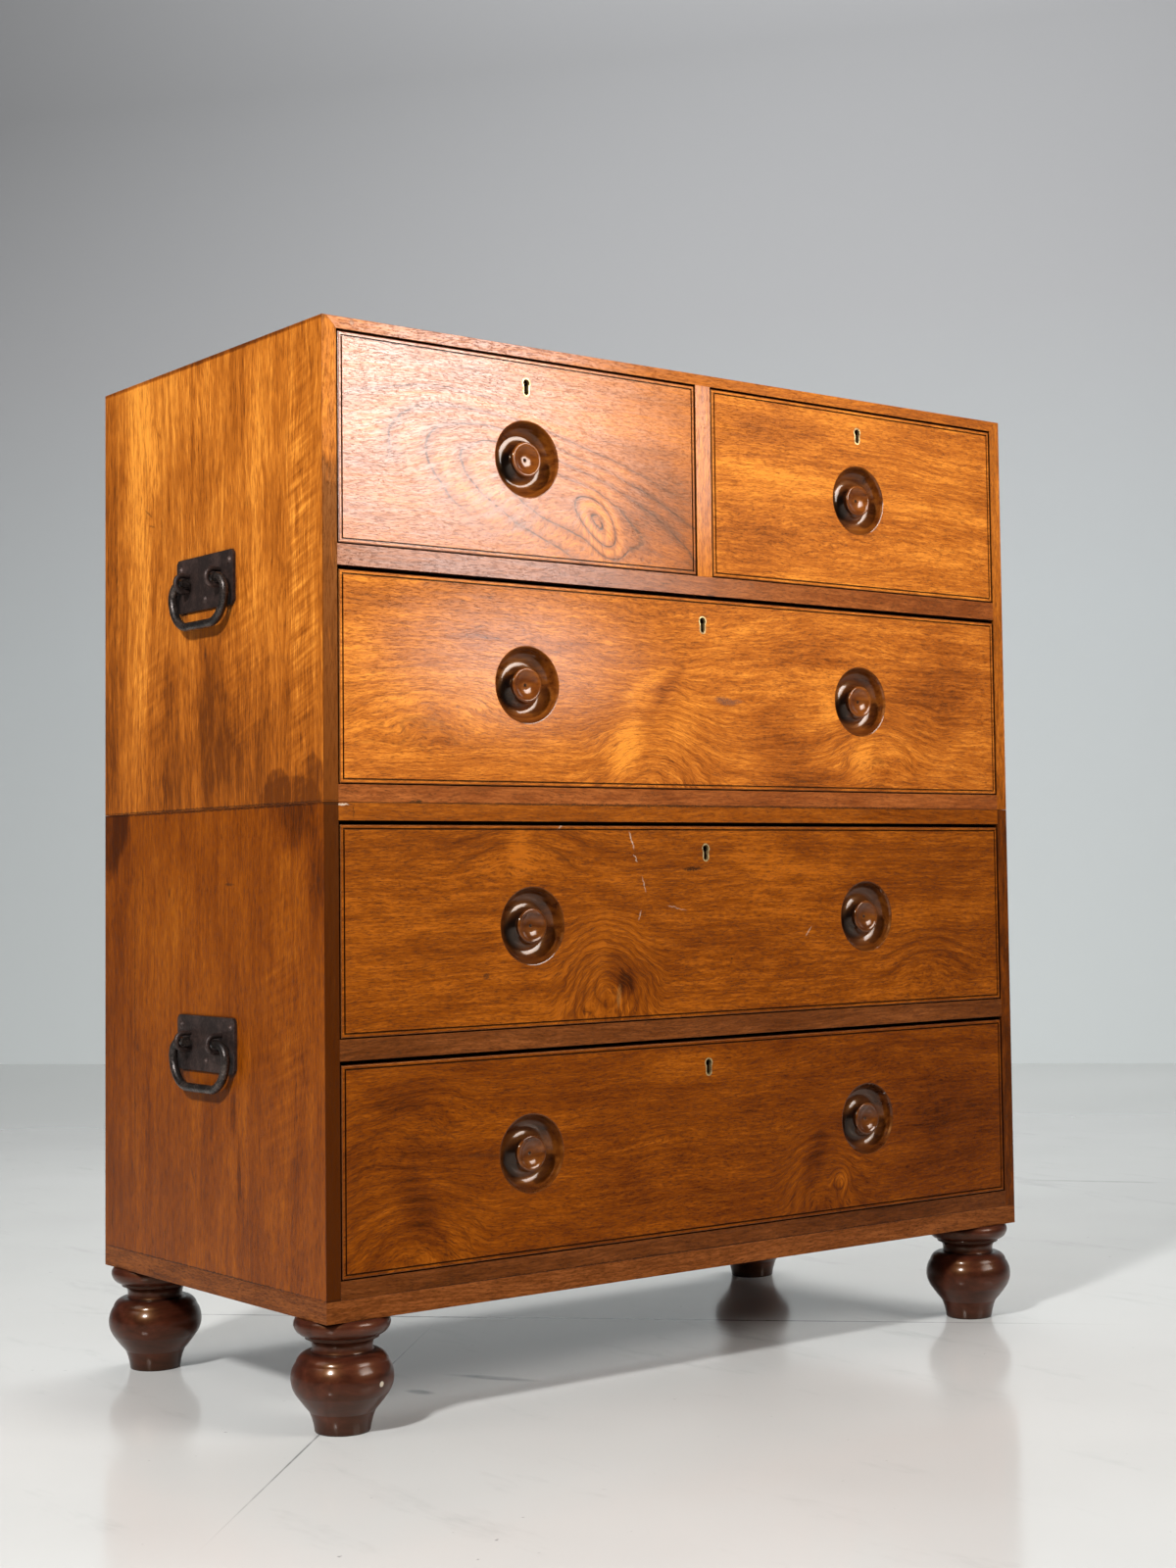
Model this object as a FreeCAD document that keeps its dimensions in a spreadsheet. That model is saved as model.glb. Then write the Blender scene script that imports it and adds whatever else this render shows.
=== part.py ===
import FreeCAD, Part
import math
import os

import PartDesign
import Sketcher

# Campaign chest in two stacked cases, in millimetres.
# +X runs to the right along the front, +Y from the front to the back and +Z up.
# The origin is on the floor, under the middle of the chest.

DOC = FreeCAD.newDocument("campaign_chest")
SHEET = DOC.addObject("Spreadsheet::Sheet", "sizes")

SIZES = {
    # overall
    "case_width": 960, "case_depth": 480,
    "upper_height": 477.7, "lower_height": 479, "stack_gap": 0.3,
    "base_height": 21, "base_member": 84,
    # carcass boards
    "side_board": 16, "top_board": 12, "upper_bottom_board": 17.5,
    "lower_top_board": 17.5, "lower_bottom_board": 18.5,
    "rail_height": 21, "rail_depth": 52, "muntin_width": 21, "muntin_offset": 4.5, "mitre_lap": 4.5,
    "dust_board": 9, "housing": 6, "guide_height": 18,
    "back_board": 10, "back_rebate": 8, "top_rebate": 6,
    # drawer openings
    "base_opening": 210, "middle_opening": 214.6,
    # drawers
    "drawer_side_gap": 1.8, "drawer_foot_gap": 1, "runner_gap": 0.3,
    "short_top_gap": 2, "long_top_gap": 4, "drawer_back_gap": 0.5,
    "front_board": 22, "drawer_side_board": 10, "drawer_back_board": 9,
    "drawer_bottom_board": 6, "bottom_groove": 5, "bottom_rise": 9,
    "side_drop": 4, "back_drop": 10,
    "bead_width": 3.4, "bead_round": 1.6, "quirk_width": 1.6, "quirk_depth": 1.8,
    "tail_lap": 15, "tail_wide": 32, "tail_narrow": 24,
    # turned pulls
    "pull_radius": 39.4, "pull_lip_radius": 40.6, "pull_lip_depth": 2.5, "pull_rim": 0.8,
    "pull_depth": 20.5, "dish_depth": 16, "knob_radius": 18.3, "knob_neck": 14, "knob_roll": 2.6,
    "knob_hollow": 4.4, "pip_radius": 1.8, "pull_shift": 3.7,
    # locks
    "key_drop": 24.5, "key_head": 5.5, "key_slot": 4.4, "key_tail": 14.3, "thread_wall": 1.5,
    "thread_depth": 4, "lock_width": 62, "lock_height": 46, "lock_depth": 11, "key_way": 5,
    "bolt_width": 20, "bolt_height": 20, "bolt_depth": 5, "bolt_travel": 9, "bolt_slack": 0.4,
    "bolt_rest": 0.5, "mortise_slack": 1, "key_pin": 1.3,
    # feet
    "foot_height": 112, "foot_inset_x": 41, "foot_inset_y": 40, "foot_toe": 27.3,
    "foot_ankle": 32.4, "foot_body": 50.6, "foot_neck": 30.2, "foot_fillet": 36.5,
    "foot_collar": 47.6, "spigot_radius": 11, "spigot_length": 31,
    # pegs that locate the upper case
    "peg_radius": 8, "peg_rise": 11, "peg_sunk": 12, "peg_inset": 70, "peg_slack": 0.6,
    # iron handles
    "handle_forward": 2.5, "plate_length": 124.5, "plate_height": 57, "plate_thickness": 3,
    "plate_corner": 4, "eye_spacing": 68, "eye_rise": 1.5, "eye_reach": 10.5, "eye_ring": 8.4,
    "eye_wire": 2.8, "eye_cover": 1, "bail_rod": 4.6, "bail_half": 57.6, "bail_end": 27,
    "bail_drop": 47, "bail_shoulder": 16, "bail_corner": 33, "nail_head": 4.4, "nail_rise": 1.8,
    "nail_shank": 1.2, "nail_length": 11, "nail_spread": 53, "nail_high": 17.5, "nail_low": 18.5,
    "upper_handle_height": 851, "lower_handle_height": 368.5,
}
TAILS = 4


class Size:
    """A length that carries its value and the spreadsheet expression that gives it."""

    def __init__(self, value, text):
        self.value = float(value)
        self.text = text

    def __add__(self, other):
        other = size(other)
        return Size(self.value + other.value, "(%s + %s)" % (self.text, other.text))

    def __sub__(self, other):
        other = size(other)
        return Size(self.value - other.value, "(%s - %s)" % (self.text, other.text))

    def __mul__(self, factor):
        factor = size(factor)
        return Size(self.value * factor.value, "(%s * %s)" % (self.text, factor.text))

    def __truediv__(self, factor):
        factor = size(factor)
        return Size(self.value / factor.value, "(%s / %s)" % (self.text, factor.text))

    def __neg__(self):
        return Size(-self.value, "(0 - %s)" % self.text)

    def __radd__(self, other):
        return size(other) + self

    def __rsub__(self, other):
        return size(other) - self

    def __rmul__(self, other):
        return size(other) * self


def size(thing):
    """Read a plain number as a length."""
    if isinstance(thing, Size):
        return thing
    return Size(thing, repr(float(thing)))


def root(thing):
    """Square root of a length's expression."""
    return Size(math.sqrt(thing.value), "sqrt(%s)" % thing.text)


def fill_sheet():
    for row, (name, value) in enumerate(SIZES.items(), start=1):
        SHEET.set("A%d" % row, name)
        SHEET.set("B%d" % row, str(value))
        SHEET.setAlias("B%d" % row, name)
    DOC.recompute()


def named(name):
    return Size(SIZES[name], "sizes.%s" % name)


def bind(thing, prop, length):
    thing.setExpression(prop, size(length).text)


def place(thing, x, y, z):
    bind(thing, "Placement.Base.x", x)
    bind(thing, "Placement.Base.y", y)
    bind(thing, "Placement.Base.z", z)


# ---------------------------------------------------------------- solids

def block(name, x0, x1, y0, y1, z0, z1):
    """A board or block between two corners."""
    solid = DOC.addObject("Part::Box", name)
    bind(solid, "Length", size(x1) - x0)
    bind(solid, "Width", size(y1) - y0)
    bind(solid, "Height", size(z1) - z0)
    place(solid, x0, y0, z0)
    return solid


def rod(name, x, y, z, radius, length, along):
    """A cylinder that starts at a point and runs along +X, +Y, +Z or their opposites."""
    turns = {
        "+Z": ((1, 0, 0), 0), "-Z": ((1, 0, 0), 180), "+Y": ((1, 0, 0), -90),
        "-Y": ((1, 0, 0), 90), "+X": ((0, 1, 0), 90), "-X": ((0, 1, 0), -90),
    }
    solid = DOC.addObject("Part::Cylinder", name)
    bind(solid, "Radius", radius)
    bind(solid, "Height", length)
    axis, angle = turns[along]
    solid.Placement.Rotation = FreeCAD.Rotation(FreeCAD.Vector(*axis), angle)
    place(solid, x, y, z)
    return solid


def group(name, parts):
    """Several separate solids as one object."""
    solids = DOC.addObject("Part::Compound", name)
    solids.Links = parts
    return solids


def cut(name, base, tools):
    """A piece with the shapes of others taken out of it."""
    piece = DOC.addObject("Part::Cut", name)
    piece.Base = base
    piece.Tool = tools[0] if len(tools) == 1 else group(name + "_tools", tools)
    return piece


def fuse(name, parts):
    piece = DOC.addObject("Part::MultiFuse", name)
    piece.Shapes = parts
    piece.Refine = True
    return piece


# ---------------------------------------------------------------- sketches

def origin_plane(body, role):
    for feature in body.Origin.OriginFeatures:
        if feature.Role == role:
            return feature
    raise ValueError("no plane " + role)


def pin_point(sketch, geometry, point, u, v):
    """Fix a sketch point by two driving distances from the sketch's origin."""
    for kind, length in (("DistanceX", size(u)), ("DistanceY", size(v))):
        if length.text == "0.0":
            axis = -2 if kind == "DistanceX" else -1
            sketch.addConstraint(Sketcher.Constraint("PointOnObject", geometry, point, axis))
            continue
        index = sketch.addConstraint(
            Sketcher.Constraint(kind, -1, 1, geometry, point, length.value))
        sketch.setExpression("Constraints[%d]" % index, length.text)


def draw(body, name, role, start, steps, closed=True):
    """A sketch of lines and arcs. A step is (u, v) for a line to that point,
    or (mid_u, mid_v, u, v) for an arc through the middle point."""
    sketch = body.newObject("Sketcher::SketchObject", name)
    sketch.AttachmentSupport = (origin_plane(body, role), "")
    sketch.MapMode = "FlatFace"
    vec = FreeCAD.Vector
    corners = [(size(start[0]), size(start[1]))]
    starts = []
    ends = []
    for step in steps:
        here = corners[-1]
        there = (size(step[-2]), size(step[-1]))
        a = (here[0].value, here[1].value)
        c = (there[0].value, there[1].value)
        if len(step) == 2:
            index = sketch.addGeometry(Part.LineSegment(vec(*a, 0), vec(*c, 0)))
            starts.append((index, 1))
            ends.append((index, 2))
        else:
            middle = (size(step[0]), size(step[1]))
            b = (middle[0].value, middle[1].value)
            index = sketch.addGeometry(Part.Arc(vec(*a, 0), vec(*b, 0), vec(*c, 0)))
            turn = (b[0] - a[0]) * (c[1] - b[1]) - (b[1] - a[1]) * (c[0] - b[0])
            first, last = (1, 2) if turn > 0 else (2, 1)
            starts.append((index, first))
            ends.append((index, last))
            mark = sketch.addGeometry(Part.Point(vec(*b, 0)), True)
            pin_point(sketch, mark, 1, *middle)
            sketch.addConstraint(Sketcher.Constraint("PointOnObject", mark, 1, index))
        corners.append(there)
    for number in range(1, len(steps)):
        sketch.addConstraint(Sketcher.Constraint("Coincident", *ends[number - 1], *starts[number]))
    if closed:
        sketch.addConstraint(Sketcher.Constraint("Coincident", *ends[-1], *starts[0]))
    pinned = corners[:-1] if closed else corners
    for number, (u, v) in enumerate(pinned):
        geometry, point = starts[number] if number < len(starts) else ends[-1]
        pin_point(sketch, geometry, point, u, v)
    return sketch


def swell(here, there, rise):
    """The step for an arc from here to there that stands off its chord by rise, on its right."""
    du, dv = size(there[0]) - here[0], size(there[1]) - here[1]
    chord = root(du * du + dv * dv)
    return ((size(here[0]) + there[0]) / 2 + dv * rise / chord,
            (size(here[1]) + there[1]) / 2 - du * rise / chord, there[0], there[1])


def new_body(name):
    return DOC.addObject("PartDesign::Body", name)


def prism(name, role, start, steps, length, x=0, y=0, z=0):
    """A closed outline pushed out from its plane towards +X, +Y or +Z."""
    body = new_body(name)
    outline = draw(body, name + "_outline", role, start, steps)
    pad = body.newObject("PartDesign::Pad", name + "_pad")
    pad.Profile = outline
    pad.Reversed = role == "XZ_Plane"
    bind(pad, "Length", length)
    body.Tip = pad
    place(body, x, y, z)
    return body


def rectangle(u0, u1, v0, v1):
    return (u0, v0), [(u1, v0), (u1, v1), (u0, v1), (u0, v0)]


def lathe(name, role, start, steps, x, y, z):
    """A closed half outline turned about its plane's vertical axis."""
    body = new_body(name)
    outline = draw(body, name + "_outline", role, start, steps)
    turned = body.newObject("PartDesign::Revolution", name + "_turned")
    turned.Profile = outline
    turned.ReferenceAxis = (outline, ["V_Axis"])
    turned.Angle = 360
    body.Tip = turned
    place(body, x, y, z)
    return body


fill_sheet()

# ---------------------------------------------------------------- main places

HALF = named("case_width") / 2
FRONT = -(named("case_depth") / 2)
REAR = named("case_depth") / 2
INNER = HALF - named("side_board")
BACK_FACE = REAR - named("back_board")
BASE_TOP = named("foot_height") + named("base_height")
SEAM = BASE_TOP + named("lower_height")
UPPER_FLOOR = SEAM + named("stack_gap")
TOP = UPPER_FLOOR + named("upper_height")

LOWER_FLOOR_TOP = BASE_TOP + named("lower_bottom_board")
LOWER_RAIL = LOWER_FLOOR_TOP + named("base_opening")
LOWER_RAIL_TOP = LOWER_RAIL + named("rail_height")
LOWER_CEILING = SEAM - named("lower_top_board")
UPPER_FLOOR_TOP = UPPER_FLOOR + named("upper_bottom_board")
UPPER_RAIL = UPPER_FLOOR_TOP + named("middle_opening")
UPPER_RAIL_TOP = UPPER_RAIL + named("rail_height")
UPPER_CEILING = TOP - named("top_board")
MUNTIN_HALF = named("muntin_width") / 2
MUNTIN_LEFT = named("muntin_offset") - MUNTIN_HALF
MUNTIN_RIGHT = named("muntin_offset") + MUNTIN_HALF
# how far a cutting piece runs past the face it starts from
OVER = size(1)

NODES = []


def keep(piece, label):
    """Name a finished sub-part."""
    piece.Label = label
    NODES.append((label, piece))
    return piece


# ---------------------------------------------------------------- iron handles

def staple(name, side, y, z):
    """A round-wire staple: two legs through the plate and a half ring outside it."""
    face = side * HALF
    centre = face + side * named("eye_reach")
    ring = DOC.addObject("Part::Torus", name + "_ring")
    bind(ring, "Radius1", named("eye_ring"))
    bind(ring, "Radius2", named("eye_wire"))
    ring.Angle3 = 180
    spin = FreeCAD.Rotation(FreeCAD.Vector(0, 1, 0), 0 if side > 0 else 180)
    ring.Placement.Rotation = spin * FreeCAD.Rotation(FreeCAD.Vector(1, 0, 0), 90) \
        * FreeCAD.Rotation(FreeCAD.Vector(0, 0, 1), -90)
    place(ring, centre, y, z)
    legs = []
    for end, step in (("high", named("eye_ring")), ("low", -named("eye_ring"))):
        reach = named("eye_reach") + named("side_board") - named("housing") - named("eye_cover")
        legs.append(rod("%s_%s" % (name, end), centre, y, z + step, named("eye_wire"),
                        reach, "-X" if side > 0 else "+X"))
    return fuse(name, [ring] + legs)


def nail(name, side, y, z):
    """A nail with a low conical head on the plate."""
    face = side * (HALF + named("plate_thickness"))
    head = DOC.addObject("Part::Cone", name + "_head")
    bind(head, "Radius1", named("nail_head"))
    bind(head, "Radius2", named("nail_head") * 0.5)
    bind(head, "Height", named("nail_rise"))
    head.Placement.Rotation = FreeCAD.Rotation(FreeCAD.Vector(0, 1, 0), 90 * side)
    place(head, face, y, z)
    shank = rod(name + "_shank", face, y, z, named("nail_shank"), named("nail_length"),
                "-X" if side > 0 else "+X")
    return fuse(name, [head, shank])


def handle_plate(name, side, z):
    """A flat iron plate with clipped corners, on the outside of a side board."""
    long_half = named("plate_length") / 2
    high_half = named("plate_height") / 2
    clip = named("plate_corner")
    start = (-long_half + clip, -high_half)
    steps = [(long_half - clip, -high_half), (long_half, -high_half + clip),
             (long_half, high_half - clip), (long_half - clip, high_half),
             (-long_half + clip, high_half), (-long_half, high_half - clip),
             (-long_half, -high_half + clip), start]
    x = HALF if side > 0 else -HALF - named("plate_thickness")
    return prism(name, "YZ_Plane", start, steps, named("plate_thickness"), x,
                 -named("handle_forward"), z)


def bail(name, side, z):
    """A round iron bail: ends turned in through the staples, square-shouldered loop below."""
    half, end, drop = named("bail_half"), named("bail_end"), named("bail_drop")
    r1, r2 = named("bail_shoulder"), named("bail_corner")
    # share of a quarter arc's radius from its corner to its middle point
    k = 1 - math.sqrt(0.5)
    body = new_body(name)
    far = half - end
    back = -end * 2 - far
    path = draw(body, name + "_path", "YZ_Plane", (0, 0), [
        (far - r1, 0),
        (far - r1 * k, -r1 * k, far, -r1),
        (far, -drop + r2),
        (far - r2 * k, -drop + r2 * k, far - r2, -drop),
        (back + r2, -drop),
        (back + r2 * k, -drop + r2 * k, back, -drop + r2),
        (back, -r1),
        (back + r1 * k, -r1 * k, back + r1, 0),
        (-end * 2, 0)], closed=False)
    ring = body.newObject("Sketcher::SketchObject", name + "_section")
    ring.AttachmentSupport = (origin_plane(body, "XZ_Plane"), "")
    ring.MapMode = "FlatFace"
    ring.addGeometry(Part.Circle(FreeCAD.Vector(0, 0, 0), FreeCAD.Vector(0, 0, 1),
                                 named("bail_rod").value))
    ring.addConstraint(Sketcher.Constraint("Coincident", 0, 3, -1, 1))
    index = ring.addConstraint(Sketcher.Constraint("Radius", 0, named("bail_rod").value))
    ring.setExpression("Constraints[%d]" % index, named("bail_rod").text)
    DOC.recompute()
    pipe = body.newObject("PartDesign::AdditivePipe", name + "_pipe")
    pipe.Profile = ring
    pipe.Spine = path
    body.Tip = pipe
    place(body, side * (HALF + named("eye_reach")), end - named("handle_forward"),
          z + named("eye_rise"))
    return body


def handles(case, z):
    """Plates, staples and nails of one case, and its two bails."""
    fixings = {}
    for side, word in ((-1, "left"), (1, "right")):
        stem = "%s_%s" % (case, word)
        wires = [staple("%s_staple_%d" % (stem, k), side,
                        named("eye_spacing") * (k - 0.5) - named("handle_forward"),
                        z + named("eye_rise")) for k in (0, 1)]
        places = [(-named("nail_spread"), named("nail_high")),
                  (named("nail_spread"), named("nail_high")), (size(0), -named("nail_low"))]
        nails = [nail("%s_nail_%d" % (stem, k), side, y - named("handle_forward"), z + dz)
                 for k, (y, dz) in enumerate(places)]
        plate = cut(stem + "_plate", handle_plate(stem + "_plate_blank", side, z), wires + nails)
        fixings[word] = (wires + nails, plate)
        keep(bail(stem + "_bail_body", side, z), "%s_%s_bail" % (case, word))
    parts = []
    for word in ("left", "right"):
        parts += [fixings[word][1]] + fixings[word][0]
    keep(group(case + "_handle_mounts_group", parts), case + "_handle_mounts")
    return {word: fixings[word][0] for word in fixings}


# ---------------------------------------------------------------- drawers

def keyhole(name, x, y, z, head, slot, tail, length):
    """A keyhole outline, round above and slotted below, pushed out towards +Y."""
    join = -root(head * head - slot * slot)
    start = (-slot, join)
    steps = [(0, head, slot, join), (slot, slot - tail), (0, -tail, -slot, slot - tail), start]
    return prism(name, "XZ_Plane", start, steps, length, x, y, z)


def pull(name, x, z):
    """One turned piece: rim, bowl and a hollowed knob left standing in its middle."""
    wall, lip, depth = named("pull_radius"), named("pull_lip_radius"), named("pull_depth")
    shelf, rim, dish = named("pull_lip_depth"), named("pull_rim"), named("dish_depth")
    knob, neck, roll = named("knob_radius"), named("knob_neck"), named("knob_roll")
    hollow, pip = named("knob_hollow"), named("pip_radius")
    brink = wall - rim
    groove = (brink + neck) / 2
    start = (0, depth)
    steps = [
        (wall, depth), (wall, shelf), (lip, shelf), (lip, 0), (lip - rim, rim / 4),
        (brink, shelf), (groove + (brink - groove) * 0.74, dish * 0.67, groove, dish),
        ((groove + neck) / 2, dish * 0.94, neck, dish * 0.66),
        (neck + (knob - neck) * 0.45, dish * 0.3, knob, roll / 2),
        (knob - roll * 0.28, roll * 0.12, knob - roll, 0),
        (knob - roll * 1.6, roll * 0.25), (knob * 0.5, hollow * 0.78, pip, hollow),
        (0, hollow + pip * 0.8), start]
    return lathe(name, "XY_Plane", start, steps, x, FRONT, z)


def drawer(number, x0, x1, floor, ceiling, top_gap, spread, shift=0):
    """One drawer between two uprights, a floor and a ceiling.

    spread is the distance of each pull from the drawer's middle, none for one pull,
    and shift moves a pair of pulls to the right."""
    stem = "drawer_%d" % number
    gap = named("drawer_side_gap")
    left, right = x0 + gap, x1 - gap
    middle = (left + right) / 2
    bottom = floor + named("drawer_foot_gap")
    top = ceiling - top_gap
    run = floor + named("runner_gap")
    crown = top - named("side_drop")
    inside = FRONT + named("front_board")
    end = BACK_FACE - named("drawer_back_gap")
    rear = end - named("drawer_back_board")
    wall = named("drawer_side_board")

    # bottom panel, in grooves on three sides and passing under the back
    panel_low = bottom + named("bottom_rise")
    panel_high = panel_low + named("drawer_bottom_board")
    groove = named("bottom_groove")
    panel = keep(block(stem + "_bottom_board", left + wall - groove, right - wall + groove,
                       inside - groove, end, panel_low, panel_high), stem + "_bottom")

    # sides with dovetails at both ends
    pitch = (crown - bottom - named("drawer_foot_gap") * 2) / TAILS
    sides = []
    for word, a, b in (("left", left, left + wall), ("right", right - wall, right)):
        pieces = [block("%s_%s_blank" % (stem, word), a, b, inside, rear, run, crown)]
        for k in range(TAILS):
            centre = bottom + named("drawer_foot_gap") + pitch * (k + 0.5)
            pieces.append(dovetail("%s_%s_lap_%d" % (stem, word, k), a, b, centre,
                                   inside - named("tail_lap"), inside, True))
            pieces.append(dovetail("%s_%s_through_%d" % (stem, word, k), a, b, centre,
                                   rear, end, False))
        board = fuse("%s_%s_board" % (stem, word), pieces)
        sides.append(cut("%s_%s_side" % (stem, word), board, [panel]))
    keep(group(stem + "_side_pair", sides), stem + "_sides")

    # back board, above the bottom panel and cut for the tails
    blank = block(stem + "_back_blank", left, right, rear, end, panel_high,
                  crown - named("back_drop"))
    keep(cut(stem + "_back_board", blank, sides), stem + "_back")

    # turned pulls
    centre_z = (bottom + top) / 2
    where = [middle] if spread is None else [shift - spread, shift + spread]
    pulls = [pull("%s_pull_%d" % (stem, k), x, centre_z) for k, x in enumerate(where)]
    keep(group(stem + "_pull_set", pulls), stem + "_pulls")

    # lock: a case let into the back of the front, its lip on the front's top edge
    key_z = top - named("key_drop")
    head, slot, tail = named("key_head"), named("key_slot"), named("key_tail")
    thread = named("thread_wall")
    half = named("lock_width") / 2
    lock_front = inside - named("lock_depth")
    case = block(stem + "_lock_case", middle - half, middle + half, lock_front, inside,
                 top - named("lock_height"), top)
    bolt_half = named("bolt_width") / 2
    bolt_y = (lock_front + inside) / 2
    bolt_front = bolt_y - named("bolt_depth") / 2
    bolt_back = bolt_y + named("bolt_depth") / 2
    bolt_top = top - named("bolt_rest")
    slack = named("bolt_slack")
    bolt_low = bolt_top - named("bolt_height")
    slot_box = block(stem + "_bolt_way", middle - bolt_half - slack, middle + bolt_half + slack,
                     bolt_front - slack, bolt_back + slack, bolt_low - slack, top + OVER)
    key_depth = named("key_way")
    key_way = keyhole(stem + "_key_way", middle, lock_front - OVER, key_z, head - thread,
                      slot - thread, tail - thread, key_depth + OVER)
    case_cut = cut(stem + "_lock_body", case, [slot_box, key_way])
    key_post = rod(stem + "_key_post", middle, lock_front + key_depth, key_z, named("key_pin"),
                   key_depth + OVER, "-Y")
    ring_out = keyhole(stem + "_thread_blank", middle, FRONT, key_z, head, slot, tail,
                       named("thread_depth"))
    ring_in = keyhole(stem + "_thread_hole", middle, FRONT - OVER, key_z, head - thread,
                      slot - thread, tail - thread, named("front_board"))
    ring = cut(stem + "_thread", ring_out, [ring_in])
    keep(group(stem + "_lock_set", [case_cut, key_post, ring]), stem + "_lock")
    keep(block(stem + "_bolt_bar", middle - bolt_half, middle + bolt_half, bolt_front, bolt_back,
               bolt_low, bolt_top), stem + "_bolt")

    # front board with a bead worked round its edge
    face = prism(stem + "_front_blank", "XZ_Plane", *rectangle(left, right, bottom, top),
                 named("front_board"), 0, FRONT, 0)
    DOC.recompute()
    pad = face.Tip
    edges = ["Edge%d" % (k + 1) for k, edge in enumerate(pad.Shape.Edges)
             if abs(edge.BoundBox.YMin) < 1e-6 and abs(edge.BoundBox.YMax) < 1e-6]
    soft = face.newObject("PartDesign::Fillet", stem + "_bead")
    soft.Base = (pad, edges)
    bind(soft, "Radius", named("bead_round"))
    face.Tip = soft
    bead, quirk = named("bead_width"), named("quirk_width")
    ditch = cut(stem + "_quirk",
                block(stem + "_quirk_outer", left + bead, right - bead, FRONT - OVER,
                      FRONT + named("quirk_depth"), bottom + bead, top - bead),
                [block(stem + "_quirk_inner", left + bead + quirk, right - bead - quirk,
                       FRONT - OVER * 2, FRONT + named("quirk_depth") + OVER,
                       bottom + bead + quirk, top - bead - quirk)])
    holes = []
    for k, x in enumerate(where):
        holes.append(rod("%s_hole_%d" % (stem, k), x, FRONT - OVER, centre_z,
                         named("pull_radius"), named("front_board") + OVER * 2, "+Y"))
        holes.append(rod("%s_seat_%d" % (stem, k), x, FRONT - OVER, centre_z,
                         named("pull_lip_radius"), named("pull_lip_depth") + OVER, "+Y"))
    thread_seat = keyhole(stem + "_thread_seat", middle, FRONT - OVER, key_z, head, slot, tail,
                          named("thread_depth") + OVER)
    front = cut(stem + "_front_bare", face, [ditch] + holes[0::2] + [thread_seat])
    front = cut(stem + "_front_seats", front, holes[1::2] + [ring_in, case])
    front = cut(stem + "_front_board", front, sides)
    keep(cut(stem + "_front_grooved", front, [panel]), stem + "_front")

    # mortise that takes the bolt, in the board above
    room = named("mortise_slack")
    reach = bolt_top + named("bolt_travel") + room
    return block(stem + "_mortise", middle - bolt_half - room, middle + bolt_half + room,
                 bolt_front - room, bolt_back + room, ceiling - OVER, reach)


def dovetail(name, x0, x1, z, y0, y1, wide_first):
    """A dovetail between two Y places, wider at the end that locks."""
    tail = DOC.addObject("Part::Wedge", name)
    wide, narrow = named("tail_wide") / 2, named("tail_narrow") / 2
    near, far = (wide, narrow) if wide_first else (narrow, wide)
    bind(tail, "Xmin", size(0))
    bind(tail, "Xmax", x1 - x0)
    bind(tail, "X2min", size(0))
    bind(tail, "X2max", x1 - x0)
    bind(tail, "Ymin", size(0))
    bind(tail, "Ymax", y1 - y0)
    bind(tail, "Zmin", -near)
    bind(tail, "Zmax", near)
    bind(tail, "Z2min", -far)
    bind(tail, "Z2max", far)
    place(tail, x0, y0, z)
    return tail


# ---------------------------------------------------------------- feet and pegs

def foot(name, x, y):
    """A turned foot: flat toe, pear-shaped body, waisted neck and rolled collar, with a spigot."""
    high = named("foot_height")
    toe, body, neck = named("foot_toe"), named("foot_body"), named("foot_neck")
    fillet, collar = named("foot_fillet"), named("foot_collar")
    spigot, reach = named("spigot_radius"), named("spigot_length")
    # outline points, at shares of the height
    tread = (toe, high * 0.01)
    ankle = (named("foot_ankle"), high * 0.18)
    calf = (body * 0.91, high * 0.335)
    shoulder = (body * 0.90, high * 0.61)
    nape = (neck + 2, high * 0.697)
    waist = (neck + 3, high * 0.805)
    step = (fillet, high * 0.812)
    lip = (fillet, high * 0.835)
    roll = (collar, high * 0.93)
    crown = (collar - 3.5, high)
    start = (0, 0)
    steps = [
        (toe - 0.8, 0), tread, swell(tread, ankle, -0.8), swell(ankle, calf, 0.3),
        swell(calf, shoulder, body * 0.094), swell(shoulder, nape, 3),
        (neck + 0.5, high * 0.70), swell((neck + 0.5, high * 0.70), waist, -2), step, lip,
        swell(lip, roll, 2.5), swell(roll, crown, 1.2),
        (spigot, high), (spigot, high + reach), (0, high + reach), start]
    return lathe(name, "XZ_Plane", start, steps, x, y, 0)


def corners(inset_x, inset_y):
    return [(HALF * sx - inset_x * sx, REAR * sy - inset_y * sy)
            for sx in (-1, 1) for sy in (-1, 1)]


FEET = [foot("foot_%d" % k, x, y)
        for k, (x, y) in enumerate(corners(named("foot_inset_x"), named("foot_inset_y")))]
keep(group("foot_set", FEET), "feet")

PEGS = []
PEG_WAYS = []
for k, (x, y) in enumerate(corners(named("peg_inset"), named("peg_inset"))):
    PEGS.append(rod("peg_%d" % k, x, y, SEAM - named("peg_sunk"), named("peg_radius"),
                    named("peg_sunk") + named("peg_rise"), "+Z"))
    PEG_WAYS.append(rod("peg_way_%d" % k, x, y, SEAM - OVER,
                        named("peg_radius") + named("peg_slack"),
                        named("peg_rise") + named("peg_slack") + OVER, "+Z"))
keep(group("peg_set", PEGS), "locating_pegs")

# ---------------------------------------------------------------- drawers in place

SHORT = named("short_top_gap")
LONG = named("long_top_gap")
PULL_SPREAD = (INNER + MUNTIN_HALF) / 2

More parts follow.
